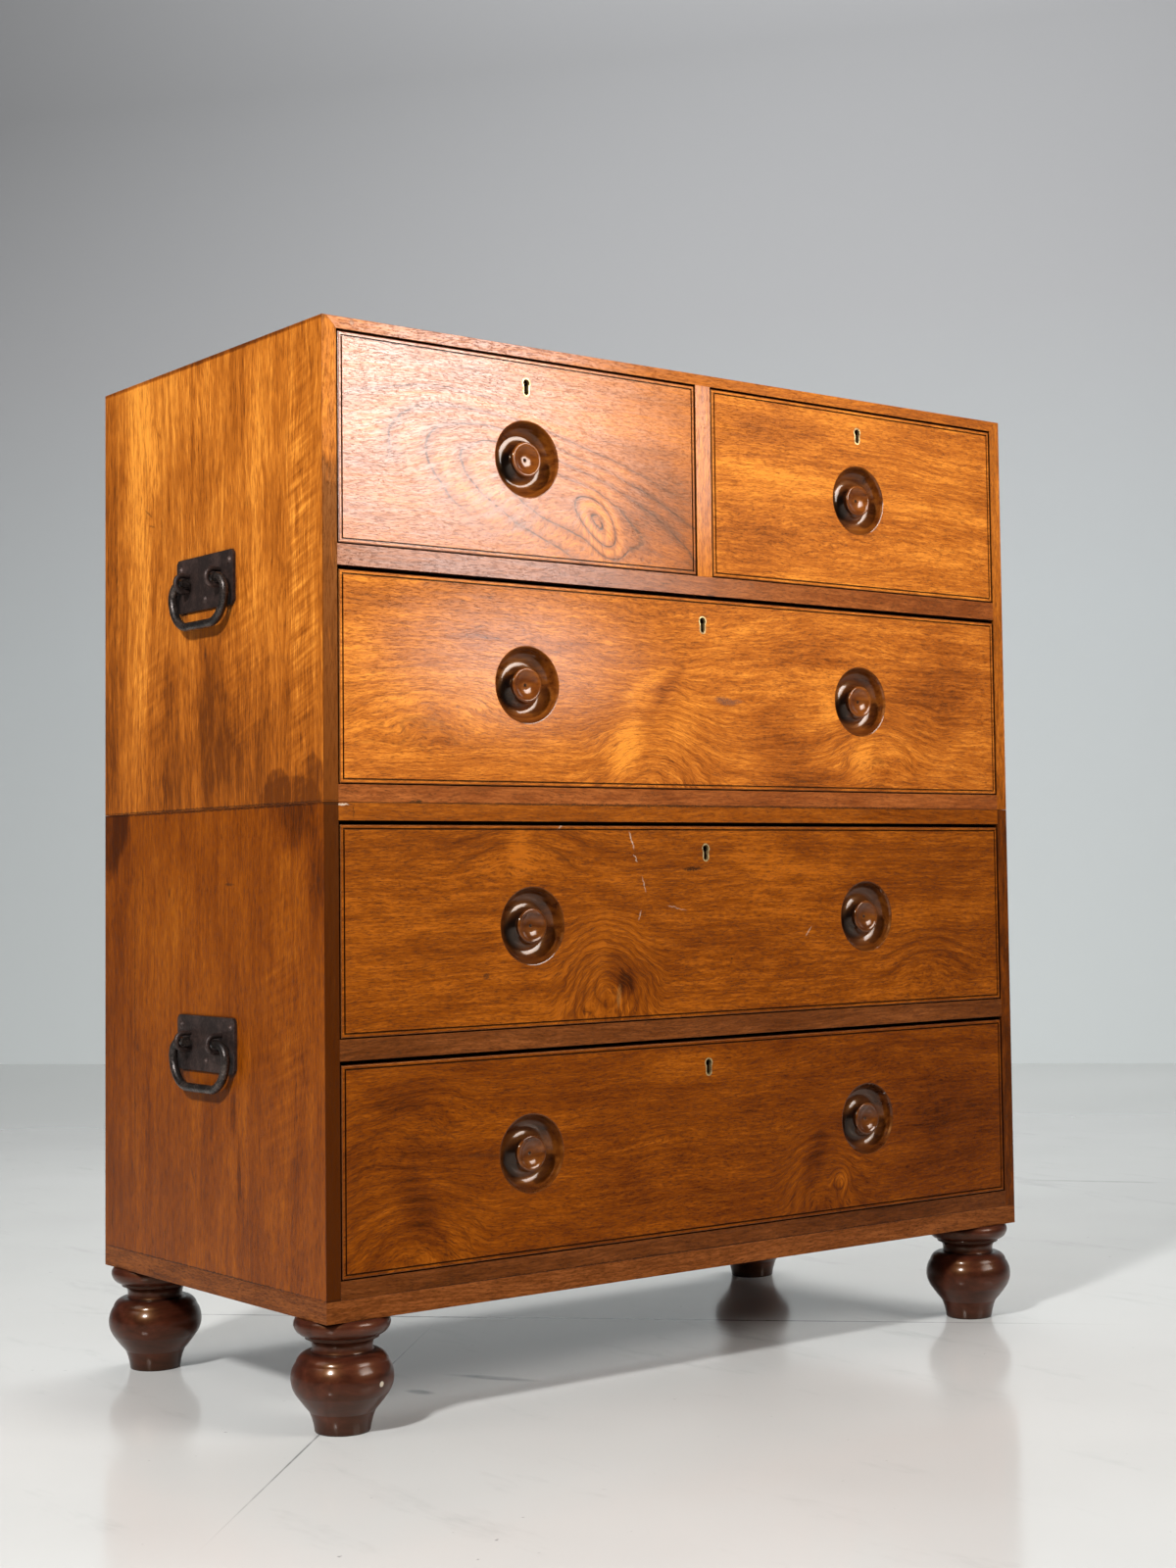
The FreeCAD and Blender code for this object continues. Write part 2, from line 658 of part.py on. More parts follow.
WAYS = {
    "upper_top": [drawer(1, -INNER, MUNTIN_LEFT, UPPER_RAIL_TOP, UPPER_CEILING, SHORT, None),
                  drawer(2, MUNTIN_RIGHT, INNER, UPPER_RAIL_TOP, UPPER_CEILING, SHORT, None)],
    "upper_rail": [drawer(3, -INNER, INNER, UPPER_FLOOR_TOP, UPPER_RAIL, LONG, PULL_SPREAD)],
    "lower_top": [drawer(4, -INNER, INNER, LOWER_RAIL_TOP, LOWER_CEILING, LONG, PULL_SPREAD,
                         named("pull_shift"))],
    "lower_rail": [drawer(5, -INNER, INNER, LOWER_FLOOR_TOP, LOWER_RAIL, LONG, PULL_SPREAD)],
}

UPPER_FIXINGS = handles("upper", named("upper_handle_height"))
LOWER_FIXINGS = handles("lower", named("lower_handle_height"))

# ---------------------------------------------------------------- carcass

HOUSE = named("housing")
REBATE = named("back_rebate")


def across(name, y0, y1, z0, z1, sink):
    """A board from side to side, its ends housed in the side boards."""
    return block(name, -INNER - sink, INNER + sink, y0, y1, z0, z1)


def back_panel(name, z0, z1):
    return across(name, BACK_FACE, REAR, z0, z1, REBATE)


def rail(name, low):
    """A front rail with a stub tenon at each end."""
    high = low + named("rail_height")
    deep = FRONT + named("rail_depth")
    inset = named("rail_height") / 4
    body = across(name + "_bar", FRONT, deep, low, high, size(0))
    tenon = across(name + "_tenons", FRONT + named("side_board"), deep, low + inset,
                   high - inset, HOUSE)
    return fuse(name + "_whole", [body, tenon])


def dust_panel(name, low):
    """A dust board level with the top of its rail, tongued into the rail and the sides."""
    high = low + named("rail_height")
    return across(name, FRONT + named("rail_depth"), BACK_FACE, high - named("dust_board"),
                  high, HOUSE)


def side_board(name, side, z0, z1, mitre, tools):
    """A case side. A mitred one meets the top board at its upper edge."""
    outer, inner = side * HALF, side * INNER
    start = (outer, z0)
    head = [(inner, UPPER_CEILING), (outer - side * named("mitre_lap"), z1)] if mitre \
        else [(inner, z1)]
    steps = [(inner, z0)] + head + [(outer, z1), start]
    return cut(name + "_cut", prism(name + "_blank", "XZ_Plane", start, steps,
                                    named("case_depth"), 0, FRONT, 0), tools)


# upper case
upper_back = keep(back_panel("upper_back_boards", UPPER_FLOOR + REBATE,
                             TOP - named("top_rebate")), "upper_back")
upper_rail_whole = rail("upper_rail", UPPER_RAIL)
upper_dust = keep(dust_panel("upper_dust", UPPER_RAIL), "upper_dust_board")
upper_floor = across("upper_floor", FRONT, REAR, UPPER_FLOOR, UPPER_FLOOR_TOP, size(0))
floor_third = named("upper_bottom_board") / 3
floor_tongue = across("upper_floor_tongue", FRONT + named("side_board"), REAR - named("side_board"),
                      UPPER_FLOOR + floor_third, UPPER_FLOOR_TOP - floor_third, HOUSE)
upper_floor_whole = fuse("upper_floor_whole", [upper_floor, floor_tongue])
keep(cut("upper_bottom_board_cut", upper_floor_whole, [upper_back] + PEG_WAYS), "upper_bottom")
keep(block("muntin_bar", MUNTIN_LEFT, MUNTIN_RIGHT, FRONT, FRONT + named("rail_depth"),
           UPPER_RAIL_TOP, UPPER_CEILING), "upper_muntin")
keep(block("guide_bar", MUNTIN_LEFT, MUNTIN_RIGHT, FRONT + named("rail_depth"), BACK_FACE,
           UPPER_RAIL_TOP, UPPER_RAIL_TOP + named("guide_height")), "upper_drawer_guide")
keep(cut("upper_rail_cut", upper_rail_whole, WAYS["upper_rail"]), "upper_rail")
MITRE = HALF - named("mitre_lap")
top_start = (-MITRE, TOP)
top_steps = [(-INNER, UPPER_CEILING), (INNER, UPPER_CEILING), (MITRE, TOP), top_start]
top_blank = prism("upper_top_blank", "XZ_Plane", top_start, top_steps, named("case_depth"),
                  0, FRONT, 0)
keep(cut("upper_top_cut", top_blank, [upper_back] + WAYS["upper_top"]), "upper_top")
UPPER_HOUSED = [upper_back, upper_rail_whole, upper_dust, upper_floor_whole]
for word, side in (("left", -1), ("right", 1)):
    keep(side_board("upper_%s" % word, side, UPPER_FLOOR, TOP, True,
                    UPPER_HOUSED + UPPER_FIXINGS[word]), "upper_%s_side" % word)

# lower case
lower_back = keep(back_panel("lower_back_boards", BASE_TOP + REBATE, SEAM - REBATE), "lower_back")
lower_rail_whole = rail("lower_rail", LOWER_RAIL)
lower_dust = keep(dust_panel("lower_dust", LOWER_RAIL), "lower_dust_board")
keep(cut("lower_rail_cut", lower_rail_whole, WAYS["lower_rail"]), "lower_rail")
LOWER_BOARDS = []
for name, z0, z1, tools in (
        ("lower_top", LOWER_CEILING, SEAM, PEGS + WAYS["lower_top"]),
        ("lower_bottom", BASE_TOP, LOWER_FLOOR_TOP, FEET)):
    third = (z1 - z0) / 3
    board = across(name + "_slab", FRONT, REAR, z0, z1, size(0))
    tongue = across(name + "_tongue", FRONT + named("side_board"), REAR - named("side_board"),
                    z0 + third, z1 - third, HOUSE)
    whole = fuse(name + "_whole", [board, tongue])
    LOWER_BOARDS.append(whole)
    keep(cut(name + "_cut", whole, [lower_back] + tools), name)
LOWER_HOUSED = [lower_back, lower_rail_whole, lower_dust] + LOWER_BOARDS
for word, side in (("left", -1), ("right", 1)):
    keep(side_board("lower_%s" % word, side, BASE_TOP, SEAM, False,
                    LOWER_HOUSED + LOWER_FIXINGS[word]), "lower_%s_side" % word)

# base frame: four members mitred at the corners
MEMBER = named("base_member")
IN_X, IN_Y = HALF - MEMBER, REAR - MEMBER
members = []
for word, start, steps in (
        ("front", (-HALF, FRONT), [(HALF, FRONT), (IN_X, -IN_Y), (-IN_X, -IN_Y), (-HALF, FRONT)]),
        ("rear", (HALF, REAR), [(-HALF, REAR), (-IN_X, IN_Y), (IN_X, IN_Y), (HALF, REAR)]),
        ("left", (-HALF, REAR), [(-HALF, FRONT), (-IN_X, -IN_Y), (-IN_X, IN_Y), (-HALF, REAR)]),
        ("right", (HALF, FRONT), [(HALF, REAR), (IN_X, IN_Y), (IN_X, -IN_Y), (HALF, FRONT)])):
    bar = prism("base_%s" % word, "XY_Plane", start, steps, named("base_height"), 0, 0,
                named("foot_height"))
    members.append(cut("base_%s_bored" % word, bar, FEET))
keep(group("base_members", members), "base_frame")

# ---------------------------------------------------------------- check and write

DOC.recompute()
FAULTS = []
for thing in DOC.Objects:
    if "Invalid" in thing.State or "Error" in thing.State:
        FAULTS.append("%s is %s" % (thing.Label, thing.State))
for label, piece in NODES:
    shape = piece.Shape
    if shape.isNull() or not shape.isValid() or not shape.Solids:
        FAULTS.append("%s has no valid solid" % label)
if FAULTS:
    raise SystemExit("\n".join(FAULTS))

os.makedirs("parts", exist_ok=True)
for label, piece in NODES:
    piece.Shape.exportStep("parts/%s.step" % label)
print("%d sub-parts, %d solids" % (len(NODES), sum(len(p.Shape.Solids) for _, p in NODES)))
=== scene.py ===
import math

import bpy
from mathutils import Matrix, Vector


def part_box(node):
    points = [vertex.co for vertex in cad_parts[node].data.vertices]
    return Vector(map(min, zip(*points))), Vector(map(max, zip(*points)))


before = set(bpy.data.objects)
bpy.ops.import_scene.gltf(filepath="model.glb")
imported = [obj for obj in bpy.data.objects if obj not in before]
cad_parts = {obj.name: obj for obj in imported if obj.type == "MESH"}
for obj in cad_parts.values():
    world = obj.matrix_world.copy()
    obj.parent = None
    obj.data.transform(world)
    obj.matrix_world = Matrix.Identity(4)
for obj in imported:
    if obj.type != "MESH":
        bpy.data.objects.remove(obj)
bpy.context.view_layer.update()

# ---------------------------------------------------------------- values, in metres and degrees

CAMERA_PLACE = Vector((-1.635, -2.194, 0.536))
CAMERA_HEADING = 38.71
CAMERA_RISE = 3.14
CAMERA_ROLL = -0.74
FRAME_PIXELS = (1200, 1600)
FOCAL_PIXELS = 2373.2
CENTRE_PIXEL = (668.7, 764.3)
WALL_FOOT_PIXELS = ((20, 1086), (1190, 1085))
# the two ends of each joint between the floor's panels
FLOOR_JOINT_PIXELS = (((0, 1339), (1200, 1352)), ((185, 1600), (453, 1341)), ((1040, 1204), (1200, 1207)),
                      ((1040, 1131), (1200, 1133)))
FLOOR_JOINT_DEPTHS = (0.95, 0.80, 0.35, 0.25)
FLOOR_JOINT_WIDTHS = (0.0050, 0.0018, 0.012, 0.020)
FLOOR_SCUFF_PIXELS = (((448, 1402), (560, 1410)), ((412, 1418), (446, 1423)))
FLOOR_SCUFF_WIDTH = 0.012
FLOOR_SCUFF_DEPTH = 0.8
FLOOR_TONES = ((0.63, 0.63, 0.61), (0.70, 0.70, 0.68))
# the wall's tones from the floor up, darker upwards as painted shade, at these shares of WALL_REACH
WALL_TONES = ((0.69, 0.73, 0.73), (0.50, 0.53, 0.54), (0.345, 0.35, 0.36), (0.215, 0.218, 0.224))
WALL_STOPS = (0.0, 0.32, 0.54, 0.74)
WALL_REACH = 4.0
# how far the wall's painted shade leans, darker towards the left
WALL_SHADE_LEAN = 0.025
WALL_HEIGHT = 7
WALL_OVERHANG = 8
FLOOR_LENGTH = 14
SKY_COLOUR = (0.95, 0.97, 1.0)
SKY_STRENGTH = 0.07
SENSOR = 36.0

# tones of each wood from its darkest streak to its brightest, linear red, green and blue,
# at these stops
TONE_STOPS = (0.10, 0.38, 0.62, 0.92)
# each LOWER_ tone is darker than its UPPER_ one: partly the lower case's own wood and partly painted shade
UPPER_FRONT = ((0.105, 0.021, 0.002), (0.25, 0.058, 0.005), (0.40, 0.108, 0.010), (0.66, 0.22, 0.024))
LOWER_FRONT = ((0.032, 0.006, 0.0008), (0.105, 0.021, 0.002), (0.18, 0.041, 0.002), (0.34, 0.088, 0.005))
UPPER_SIDE = ((0.11, 0.025, 0.002), (0.27, 0.068, 0.005), (0.43, 0.125, 0.012), (0.74, 0.27, 0.034))
LOWER_SIDE = ((0.052, 0.010, 0.0005), (0.143, 0.029, 0.0008), (0.225, 0.052, 0.0018), (0.35, 0.100, 0.006))
RAIL_WOOD = ((0.040, 0.009, 0.002), (0.12, 0.026, 0.005), (0.19, 0.046, 0.009), (0.32, 0.092, 0.020))
BASE_WOOD = ((0.026, 0.007, 0.002), (0.080, 0.020, 0.004), (0.130, 0.036, 0.008), (0.23, 0.070, 0.017))
UPPER_TURNED = ((0.034, 0.007, 0.001), (0.105, 0.024, 0.003), (0.18, 0.047, 0.005), (0.30, 0.096, 0.011))
LOWER_TURNED = ((0.020, 0.004, 0.001), (0.060, 0.014, 0.002), (0.105, 0.027, 0.003), (0.18, 0.055, 0.007))
FOOT_WOOD = ((0.016, 0.004, 0.002), (0.034, 0.008, 0.0040), (0.052, 0.012, 0.0060), (0.080, 0.021, 0.010))
INNER_WOOD = ((0.15, 0.068, 0.026), (0.28, 0.142, 0.060), (0.37, 0.205, 0.092), (0.47, 0.28, 0.135))

PORE_COLOUR = (0.022, 0.006, 0.003)
# near black for painted shade in creases, keyholes and the pulls' recesses, and for grime in the creases
GRIME_AND_SHADE_COLOUR = (0.010, 0.004, 0.003)
DARK_LINE = (0.012, 0.005, 0.003)
BEAD_COLOUR = (0.070, 0.014, 0.005)
STAIN = (0.050, 0.016, 0.006)
DEEP_STAIN = (0.085, 0.040, 0.032)
PALE_STREAK = (0.24, 0.10, 0.025)
# a round worn mark at the top's left corner, its edge and its middle
WORN_RING = (0.10, 0.035, 0.02)
WORN_MIDDLE = (0.30, 0.14, 0.07)
CHIP_COLOUR = (0.55, 0.48, 0.38)
# dark for the floor's scuffs, specks and joints, and for painted shade farther from the camera
FLOOR_DIRT_AND_SHADE = (0.10, 0.10, 0.10)
# how a polished wood colours what it mirrors
WARM = (1.0, 0.46, 0.12)
PALE = (1.0, 0.90, 0.86)
# how much more a polished bead shines than the flat beside it
EDGE_SHINE = 0.9
THREAD_RISE = 0.0010
PIP_RADIUS = 0.0022
CHIP_RADIUS = 0.0030
# painted shadow that each knob casts into its recess: its place from the knob's middle, half size and turn
KNOB_SHADOW_SHIFT = (-0.0165, -0.0070)
KNOB_SHADOW_HALF = (0.0125, 0.0190)
KNOB_SHADOW_TURN = 20
# the y where the painted knob shadow starts and where it is full, and the same for the chips
KNOB_SHADOW_START = (-0.232, -0.228)
CHIP_START = (-0.19, -0.20)

# waves per metre of each kind of figure along, across and into a board
DRIFT = (1.6, 5.0, 5.0)
RIPPLE = (12.0, 34.0, 34.0)
WAVE = (60.0, 70.0, 70.0)
BAND = (2.2, 40.0, 30.0)
GRAIN_LINE = (22.0, 300.0, 220.0)
CLOUD = (7.0, 17.0, 17.0)
FLECK_ACROSS = 860.0
RIBBON = (140.0, 14.0)
# how far a ribbon's stripes lean
RIBBON_SLANT = 0.35
# how far along the pattern one seed is from the next
SEED_STEP = 1.7
# waves per metre of what bends hills, patches and lines, and of the breaks in lines
HILL_BEND = 17.0
PATCH_BEND = 38.0
LINE_BEND = 210.0
LINE_BREAK = 520.0
# how far drift, ripple and wave shift the grain, and how far a hill one ring high does
DRIFT_GIVE = 0.060
RIPPLE_GIVE = 0.008
WAVE_GIVE = 0.0020
RING_GIVE = 0.010
LINE_GIVE = 0.004
# the depth of the wood's relief and the radius of its worn edges
RELIEF = 0.00025
TURNED_RELIEF = 0.0002
WORN_EDGE = 0.0008
# how much each kind of figure changes the tone, or how deep its colour is
BAND_TONE = 0.45
GRAIN_TONE = 0.95
CLOUD_TONE = 0.62
FLECK_TONE = -0.85
RING_TONE = 0.34
PORE_DEPTH = 0.42
RING_DEPTH = 1.3
BEAD_DEPTH = 0.75


# ---------------------------------------------------------------- shader helpers

class Shader:
    """A material, and short calls that add nodes to it."""

    def __init__(self, name):
        self.material = bpy.data.materials.new(name)
        self.material.use_nodes = True
        self.tree = self.material.node_tree
        self.surface = self.tree.nodes["Principled BSDF"]

    def put(self, socket, value):
        if isinstance(value, Amount):
            value = value.socket
        if isinstance(value, bpy.types.NodeSocket):
            self.tree.links.new(value, socket)
        else:
            socket.default_value = value

    def node(self, kind, inputs, **settings):
        made = self.tree.nodes.new(kind)
        for name, value in settings.items():
            setattr(made, name, value)
        for key, value in inputs.items():
            self.put(made.inputs[key], value)
        return made

    def maths(self, operation, *values):
        made = self.node("ShaderNodeMath", dict(enumerate(values)), operation=operation)
        return Amount(self, made.outputs[0])

    def set(self, **values):
        for name, value in values.items():
            self.put(self.surface.inputs[name.replace("_", " ")], value)

    def places(self):
        """The three coordinates of the surface in the chest's own frame."""
        place = self.node("ShaderNodeTexCoord", {}).outputs["Object"]
        split = self.node("ShaderNodeSeparateXYZ", {0: place})
        return [Amount(self, output) for output in split.outputs]

    def vector(self, x, y, z=0.0):
        return self.node("ShaderNodeCombineXYZ", {0: x, 1: y, 2: z}).outputs[0]

    def noise(self, vector, scale=1.0, detail=3.0, roughness=0.55):
        inputs = {"Vector": vector, "Scale": scale, "Detail": detail, "Roughness": roughness}
        return Amount(self, self.node("ShaderNodeTexNoise", inputs).outputs["Fac"])

    def ramp(self, amount, colours, stops):
        made = self.node("ShaderNodeValToRGB", {"Fac": amount})
        elements = made.color_ramp.elements
        while len(elements) < len(colours):
            elements.new(0.5)
        for element, colour, stop in zip(elements, colours, stops):
            element.position = stop
            element.color = (*colour, 1)
        return made.outputs["Color"]

    def mix(self, factor, first, second):
        made = self.node("ShaderNodeMix", {}, data_type="RGBA")
        self.put(made.inputs[0], factor)
        for socket, value in ((made.inputs[6], first), (made.inputs[7], second)):
            self.put(socket, (*value[:3], 1) if isinstance(value, tuple) else value)
        return made.outputs[2]

    def reach(self, flat, centre, half, turn=0.0):
        """Distance from a centre, 1 at the edge of a turned ellipse of those half sizes."""
        made = self.node("ShaderNodeMapping", {"Vector": flat}, vector_type="TEXTURE")
        made.inputs["Location"].default_value = (*centre, 0)
        made.inputs["Rotation"].default_value = (0, 0, math.radians(turn))
        made.inputs["Scale"].default_value = (*half, 1)
        length = self.node("ShaderNodeVectorMath", {0: made.outputs[0]}, operation="LENGTH")
        return Amount(self, length.outputs["Value"])

    def bump(self, height, distance, strength=1.0, worn=0.0):
        """A relief, on edges rounded by wear to about the radius given as worn."""
        inputs = {"Height": height, "Distance": distance, "Strength": strength}
        if worn:
            inputs["Normal"] = self.node("ShaderNodeBevel", {"Radius": worn}, samples=4).outputs["Normal"]
        return self.node("ShaderNodeBump", inputs).outputs["Normal"]

    def facing(self, axis):
        """1 where the surface faces along an axis, either way, and 0 where it lies along it."""
        normal = self.node("ShaderNodeNewGeometry", {}).outputs["Normal"]
        return self.maths("ABSOLUTE", self.node("ShaderNodeSeparateXYZ", {0: normal}).outputs[axis])

    def rounding(self, axis):
        """1 where the surface turns away from an axis, as on beads and worn edges."""
        facing = self.facing(axis)
        return facing.smooth(0.995, 0.93) * facing.smooth(0.02, 0.10)

    def crevice(self, distance):
        """1 in the open and near 0 deep in a crease of about that size."""
        made = self.node("ShaderNodeAmbientOcclusion", {"Distance": distance}, samples=6)
        return Amount(self, made.outputs["AO"])


class Amount:
    """A number that varies over a surface; sums and products of it add Math nodes."""

    def __init__(self, shader, socket):
        self.shader = shader
        self.socket = socket

    def __add__(self, other):
        return self.shader.maths("ADD", self, other)

    def __sub__(self, other):
        return self.shader.maths("SUBTRACT", self, other)

    def __mul__(self, other):
        return self.shader.maths("MULTIPLY", self, other)

    def __rsub__(self, other):
        return self.shader.maths("SUBTRACT", other, self)

    __radd__ = __add__
    __rmul__ = __mul__

    def smooth(self, start, end, first=0.0, last=1.0):
        """Goes softly from first, where this is start, to last, where it is end."""
        inputs = {"Value": self, "From Min": start, "From Max": end, "To Min": first, "To Max": last}
        made = self.shader.node("ShaderNodeMapRange", inputs, interpolation_type="SMOOTHSTEP")
        return Amount(self.shader, made.outputs[0])


# ---------------------------------------------------------------- wood

# each board's grain: which of x, y, z runs along the grain, across its face and into it
GRAINS = {"front": (0, 2, 1), "side": (2, 1, 0), "top": (0, 1, 2), "runner": (1, 2, 0), "post": (2, 0, 1)}


def wood(name, grain, tones, seed, hills=(), patches=(), lines=(), rings=0.30, pitch=46.0, wander=1.0,
         streak=1.0, pores=1.0, flecks=140.0, ribbon=(), shine=(), roughness=0.36, specular=0.3,
         crease_grime_and_shade=0.9, bright=0.0, crooked=0.40, keyhole=None, mitred=False):
    """Polished wood. Growth rings are the contours of a height field; a knot raises a hill in it.

    hills    (along, across), (half along, half across), turn, rings high
    patches  (along, across), (half along, half across), turn, softness, change of tone
    lines    (along, across), (half length, half width), turn, colour, strength
    ribbon   (along, across), (half along, half across), strength of cross figure there
    shine    (along, across), (half along, half across), turn, softness, added specular level
    pitch    rings per metre across the board
    flecks   flecks per metre along the board
    crooked  how far the edge of a hill strays, as a share of its size
    keyhole  (along, across), (half along, half across) and depth of the brass thread, past which the hole
    is painted dark as shade
    mitred   for a frame of four members, each with the grain along its own length
    rings, wander, streak, pores and the crease darkening say how strong each of these is; the crease
    darkening is grime and painted shade
    """
    shader = Shader(name)
    xyz = shader.places()
    along, across, deep = (xyz[axis] for axis in GRAINS[grain])
    if mitred:
        side = shader.facing(0).smooth(0.4, 0.6)
        along, deep = along + (deep - along) * side, deep + (along - deep) * side
    moved = along + seed * SEED_STEP
    flat = shader.vector(along, across)

    def figure(rates, level, detail, fineness=0.55):
        """Noise drawn out along the grain, with those waves per metre along, across and into it."""
        place = shader.vector(moved * rates[0], level * rates[1], deep * rates[2])
        return shader.noise(place, 1.0, detail, fineness)

    drift = figure(DRIFT, across, 2.0) - 0.5
    ripple = figure(RIPPLE, across, 3.0) - 0.5
    wave = figure(WAVE, across, 2.0) - 0.5
    level = across + drift * (wander * DRIFT_GIVE) + ripple * (wander * RIPPLE_GIVE)
    field = level * pitch
    flow = level + wave * WAVE_GIVE
    bent = shader.noise(flat, HILL_BEND, 3.0) - 0.5
    figured = 0.30
    for centre, half, turn, height in hills:
        lift = (shader.reach(flat, centre, half, turn) + bent * crooked).smooth(1.0, 0.0)
        field = field + lift * height
        flow = flow + lift * (height * RING_GIVE)
        figured = lift.smooth(0.0, 0.2, 0.0, 0.9) + figured
    band = figure(BAND, flow, 3.0)
    grain_line = figure(GRAIN_LINE, flow, 4.0, 0.72)
    cloud = figure(CLOUD, across, 4.0, 0.65)
    fleck = figure((flecks, FLECK_ACROSS, FLECK_ACROSS), flow, 4.0, 0.70)
    pore = fleck.smooth(0.50, 0.68)
    ring = shader.maths("PINGPONG", field, 0.5)
    ring_line = ring.smooth(0.07, 0.0) * grain_line.smooth(0.36, 0.56) * figured

    tone = (band - 0.5) * (BAND_TONE * streak) + (grain_line - 0.5) * (GRAIN_TONE * streak)
    tone = tone + (cloud - 0.5) * CLOUD_TONE + (fleck - 0.5) * FLECK_TONE
    tone = tone + (ring.smooth(0.0, 0.4) - 0.6) * figured * (rings * RING_TONE) + (0.5 + bright)
    for centre, half, strength in ribbon:
        slanted = shader.vector((moved + across * RIBBON_SLANT) * RIBBON[0], across * RIBBON[1])
        weave = shader.noise(slanted, 1.0, 2.0) - 0.5
        tone = tone + weave * shader.reach(flat, centre, half).smooth(1.0, 0.2, 0.0, strength)
    warp = shader.noise(flat, PATCH_BEND, 4.0) - 0.5
    for centre, half, turn, softness, change in patches:
        edge = shader.reach(flat, centre, half, turn) + warp * 0.45
        tone = tone + edge.smooth(1.0, 1.0 - softness, 0.0, change)

    rounded = shader.rounding(GRAINS[grain][2])
    colour = shader.ramp(tone, tones, TONE_STOPS)
    colour = shader.mix(pore * (PORE_DEPTH * pores), colour, PORE_COLOUR)
    colour = shader.mix(ring_line * (rings * RING_DEPTH), colour, PORE_COLOUR)
    colour = shader.mix(rounded * BEAD_DEPTH, colour, BEAD_COLOUR)
    if lines:
        jitter = shader.noise(flat, LINE_BEND, 3.0) - 0.5
        shaky = shader.vector(along + jitter * LINE_GIVE, across + jitter * LINE_GIVE)
        broken = shader.noise(flat, LINE_BREAK, 2.0).smooth(0.36, 0.52, 0.35, 1.0)
    for centre, half, turn, paint, strength in lines:
        mark = shader.reach(shaky, centre, half, turn).smooth(1.0, 0.45, 0.0, strength) * broken
        colour = shader.mix(mark, colour, paint)
    # painted shade: the wood seen inside the keyhole, past the brass thread, is made near black
    if keyhole:
        centre, half, depth = keyhole
        hollow = shader.reach(flat, centre, half).smooth(1.1, 1.0) * deep.smooth(depth, depth + 0.0004)
        colour = shader.mix(hollow, colour, GRIME_AND_SHADE_COLOUR)
    # grime and painted shade: an ambient occlusion mask darkens the wood in creases and gaps
    if crease_grime_and_shade:
        colour = shader.mix(shader.crevice(0.009).smooth(0.78, 0.36, 0.0, crease_grime_and_shade), colour, GRIME_AND_SHADE_COLOUR)

    gloss = (*WARM, 1)
    specular = rounded * EDGE_SHINE + specular
    face_on = shader.facing(GRAINS[grain][2]).smooth(0.2, 0.5)
    for centre, half, turn, softness, change in shine:
        glow = (shader.reach(flat, centre, half, turn) + warp * 0.15).smooth(1.0, 1.0 - softness) * face_on
        specular = glow * change + specular
        gloss = shader.mix(glow, gloss, (*PALE, 1))
    relief = grain_line * 0.5 - pore * (0.7 * pores) - ring_line * 0.2
    shader.set(Base_Color=colour, Normal=shader.bump(relief, RELIEF, 0.5, WORN_EDGE))
    shader.set(Specular_IOR_Level=specular, Specular_Tint=gloss)
    shader.set(Roughness=grain_line.smooth(0.30, 0.70, roughness - 0.05, roughness + 0.09))
    return shader.material


def turned(name, tones, seed, roughness, coat, specular, pips=(), chips=(), blur=0.09):
    """Glossy turned wood.

    pips   the small holes that the lathe's centre left in knobs, each painted dark as shade, with a painted shadow of the knob beside it
    chips  small pale chips on the front
    blur   roughness of the clear coat
    """
    shader = Shader(name)
    x, y, z = shader.places()
    moved = x + seed
    bend = shader.noise(shader.vector(moved * 8.0, y * 14.0, z * 14.0), 1.0, 2.0)
    bent = shader.vector(moved * 14.0, y * 90.0 + bend * 3.0, z * 130.0 + bend * 5.0)
    figure = shader.noise(bent, 1.0, 4.0, 0.6)
    fleck = shader.noise(shader.vector(moved * 90.0, y * 700.0, z * 900.0), 1.0, 2.0).smooth(0.60, 0.74)
    tone = (figure - 0.5) * 1.3 + (bend - 0.5) * 0.6 + 0.5
    colour = shader.mix(fleck * 0.5, shader.ramp(tone, tones, TONE_STOPS), PORE_COLOUR)
    flat = shader.vector(x, z)
    for pip in pips:
        # painted shade: the lathe centre's hole is made near black
        hole = shader.reach(flat, pip, (PIP_RADIUS, PIP_RADIUS)).smooth(1.0, 0.55)
        colour = shader.mix(hole, colour, DARK_LINE)
        # painted shadow of the knob, dark in the recess at its lower left
        middle = (pip[0] + KNOB_SHADOW_SHIFT[0], pip[1] + KNOB_SHADOW_SHIFT[1])
        knob_shadow = shader.reach(flat, middle, KNOB_SHADOW_HALF, KNOB_SHADOW_TURN).smooth(1.0, 0.45, 0.0, 0.95)
        colour = shader.mix(knob_shadow * y.smooth(*KNOB_SHADOW_START), colour, GRIME_AND_SHADE_COLOUR)
    for chip in chips:
        bare = shader.reach(flat, chip, (CHIP_RADIUS, CHIP_RADIUS)) + (figure - 0.5)
        colour = shader.mix(bare.smooth(1.0, 0.6) * y.smooth(*CHIP_START), colour, CHIP_COLOUR)
    # painted shade: an ambient occlusion mask darkens the recess round each knob
    colour = shader.mix(shader.crevice(0.022).smooth(0.80, 0.36, 0.0, 0.96), colour, GRIME_AND_SHADE_COLOUR)
    relief = shader.bump(figure * 0.3 - fleck * 0.4, TURNED_RELIEF, 0.3, WORN_EDGE)
    shader.set(Base_Color=colour, Normal=relief, Coat_Weight=coat, Coat_Roughness=blur,
               Specular_IOR_Level=specular, Specular_Tint=(*WARM, 1))
    shader.set(Roughness=figure.smooth(0.3, 0.7, roughness - 0.04, roughness + 0.08))
    return shader.material


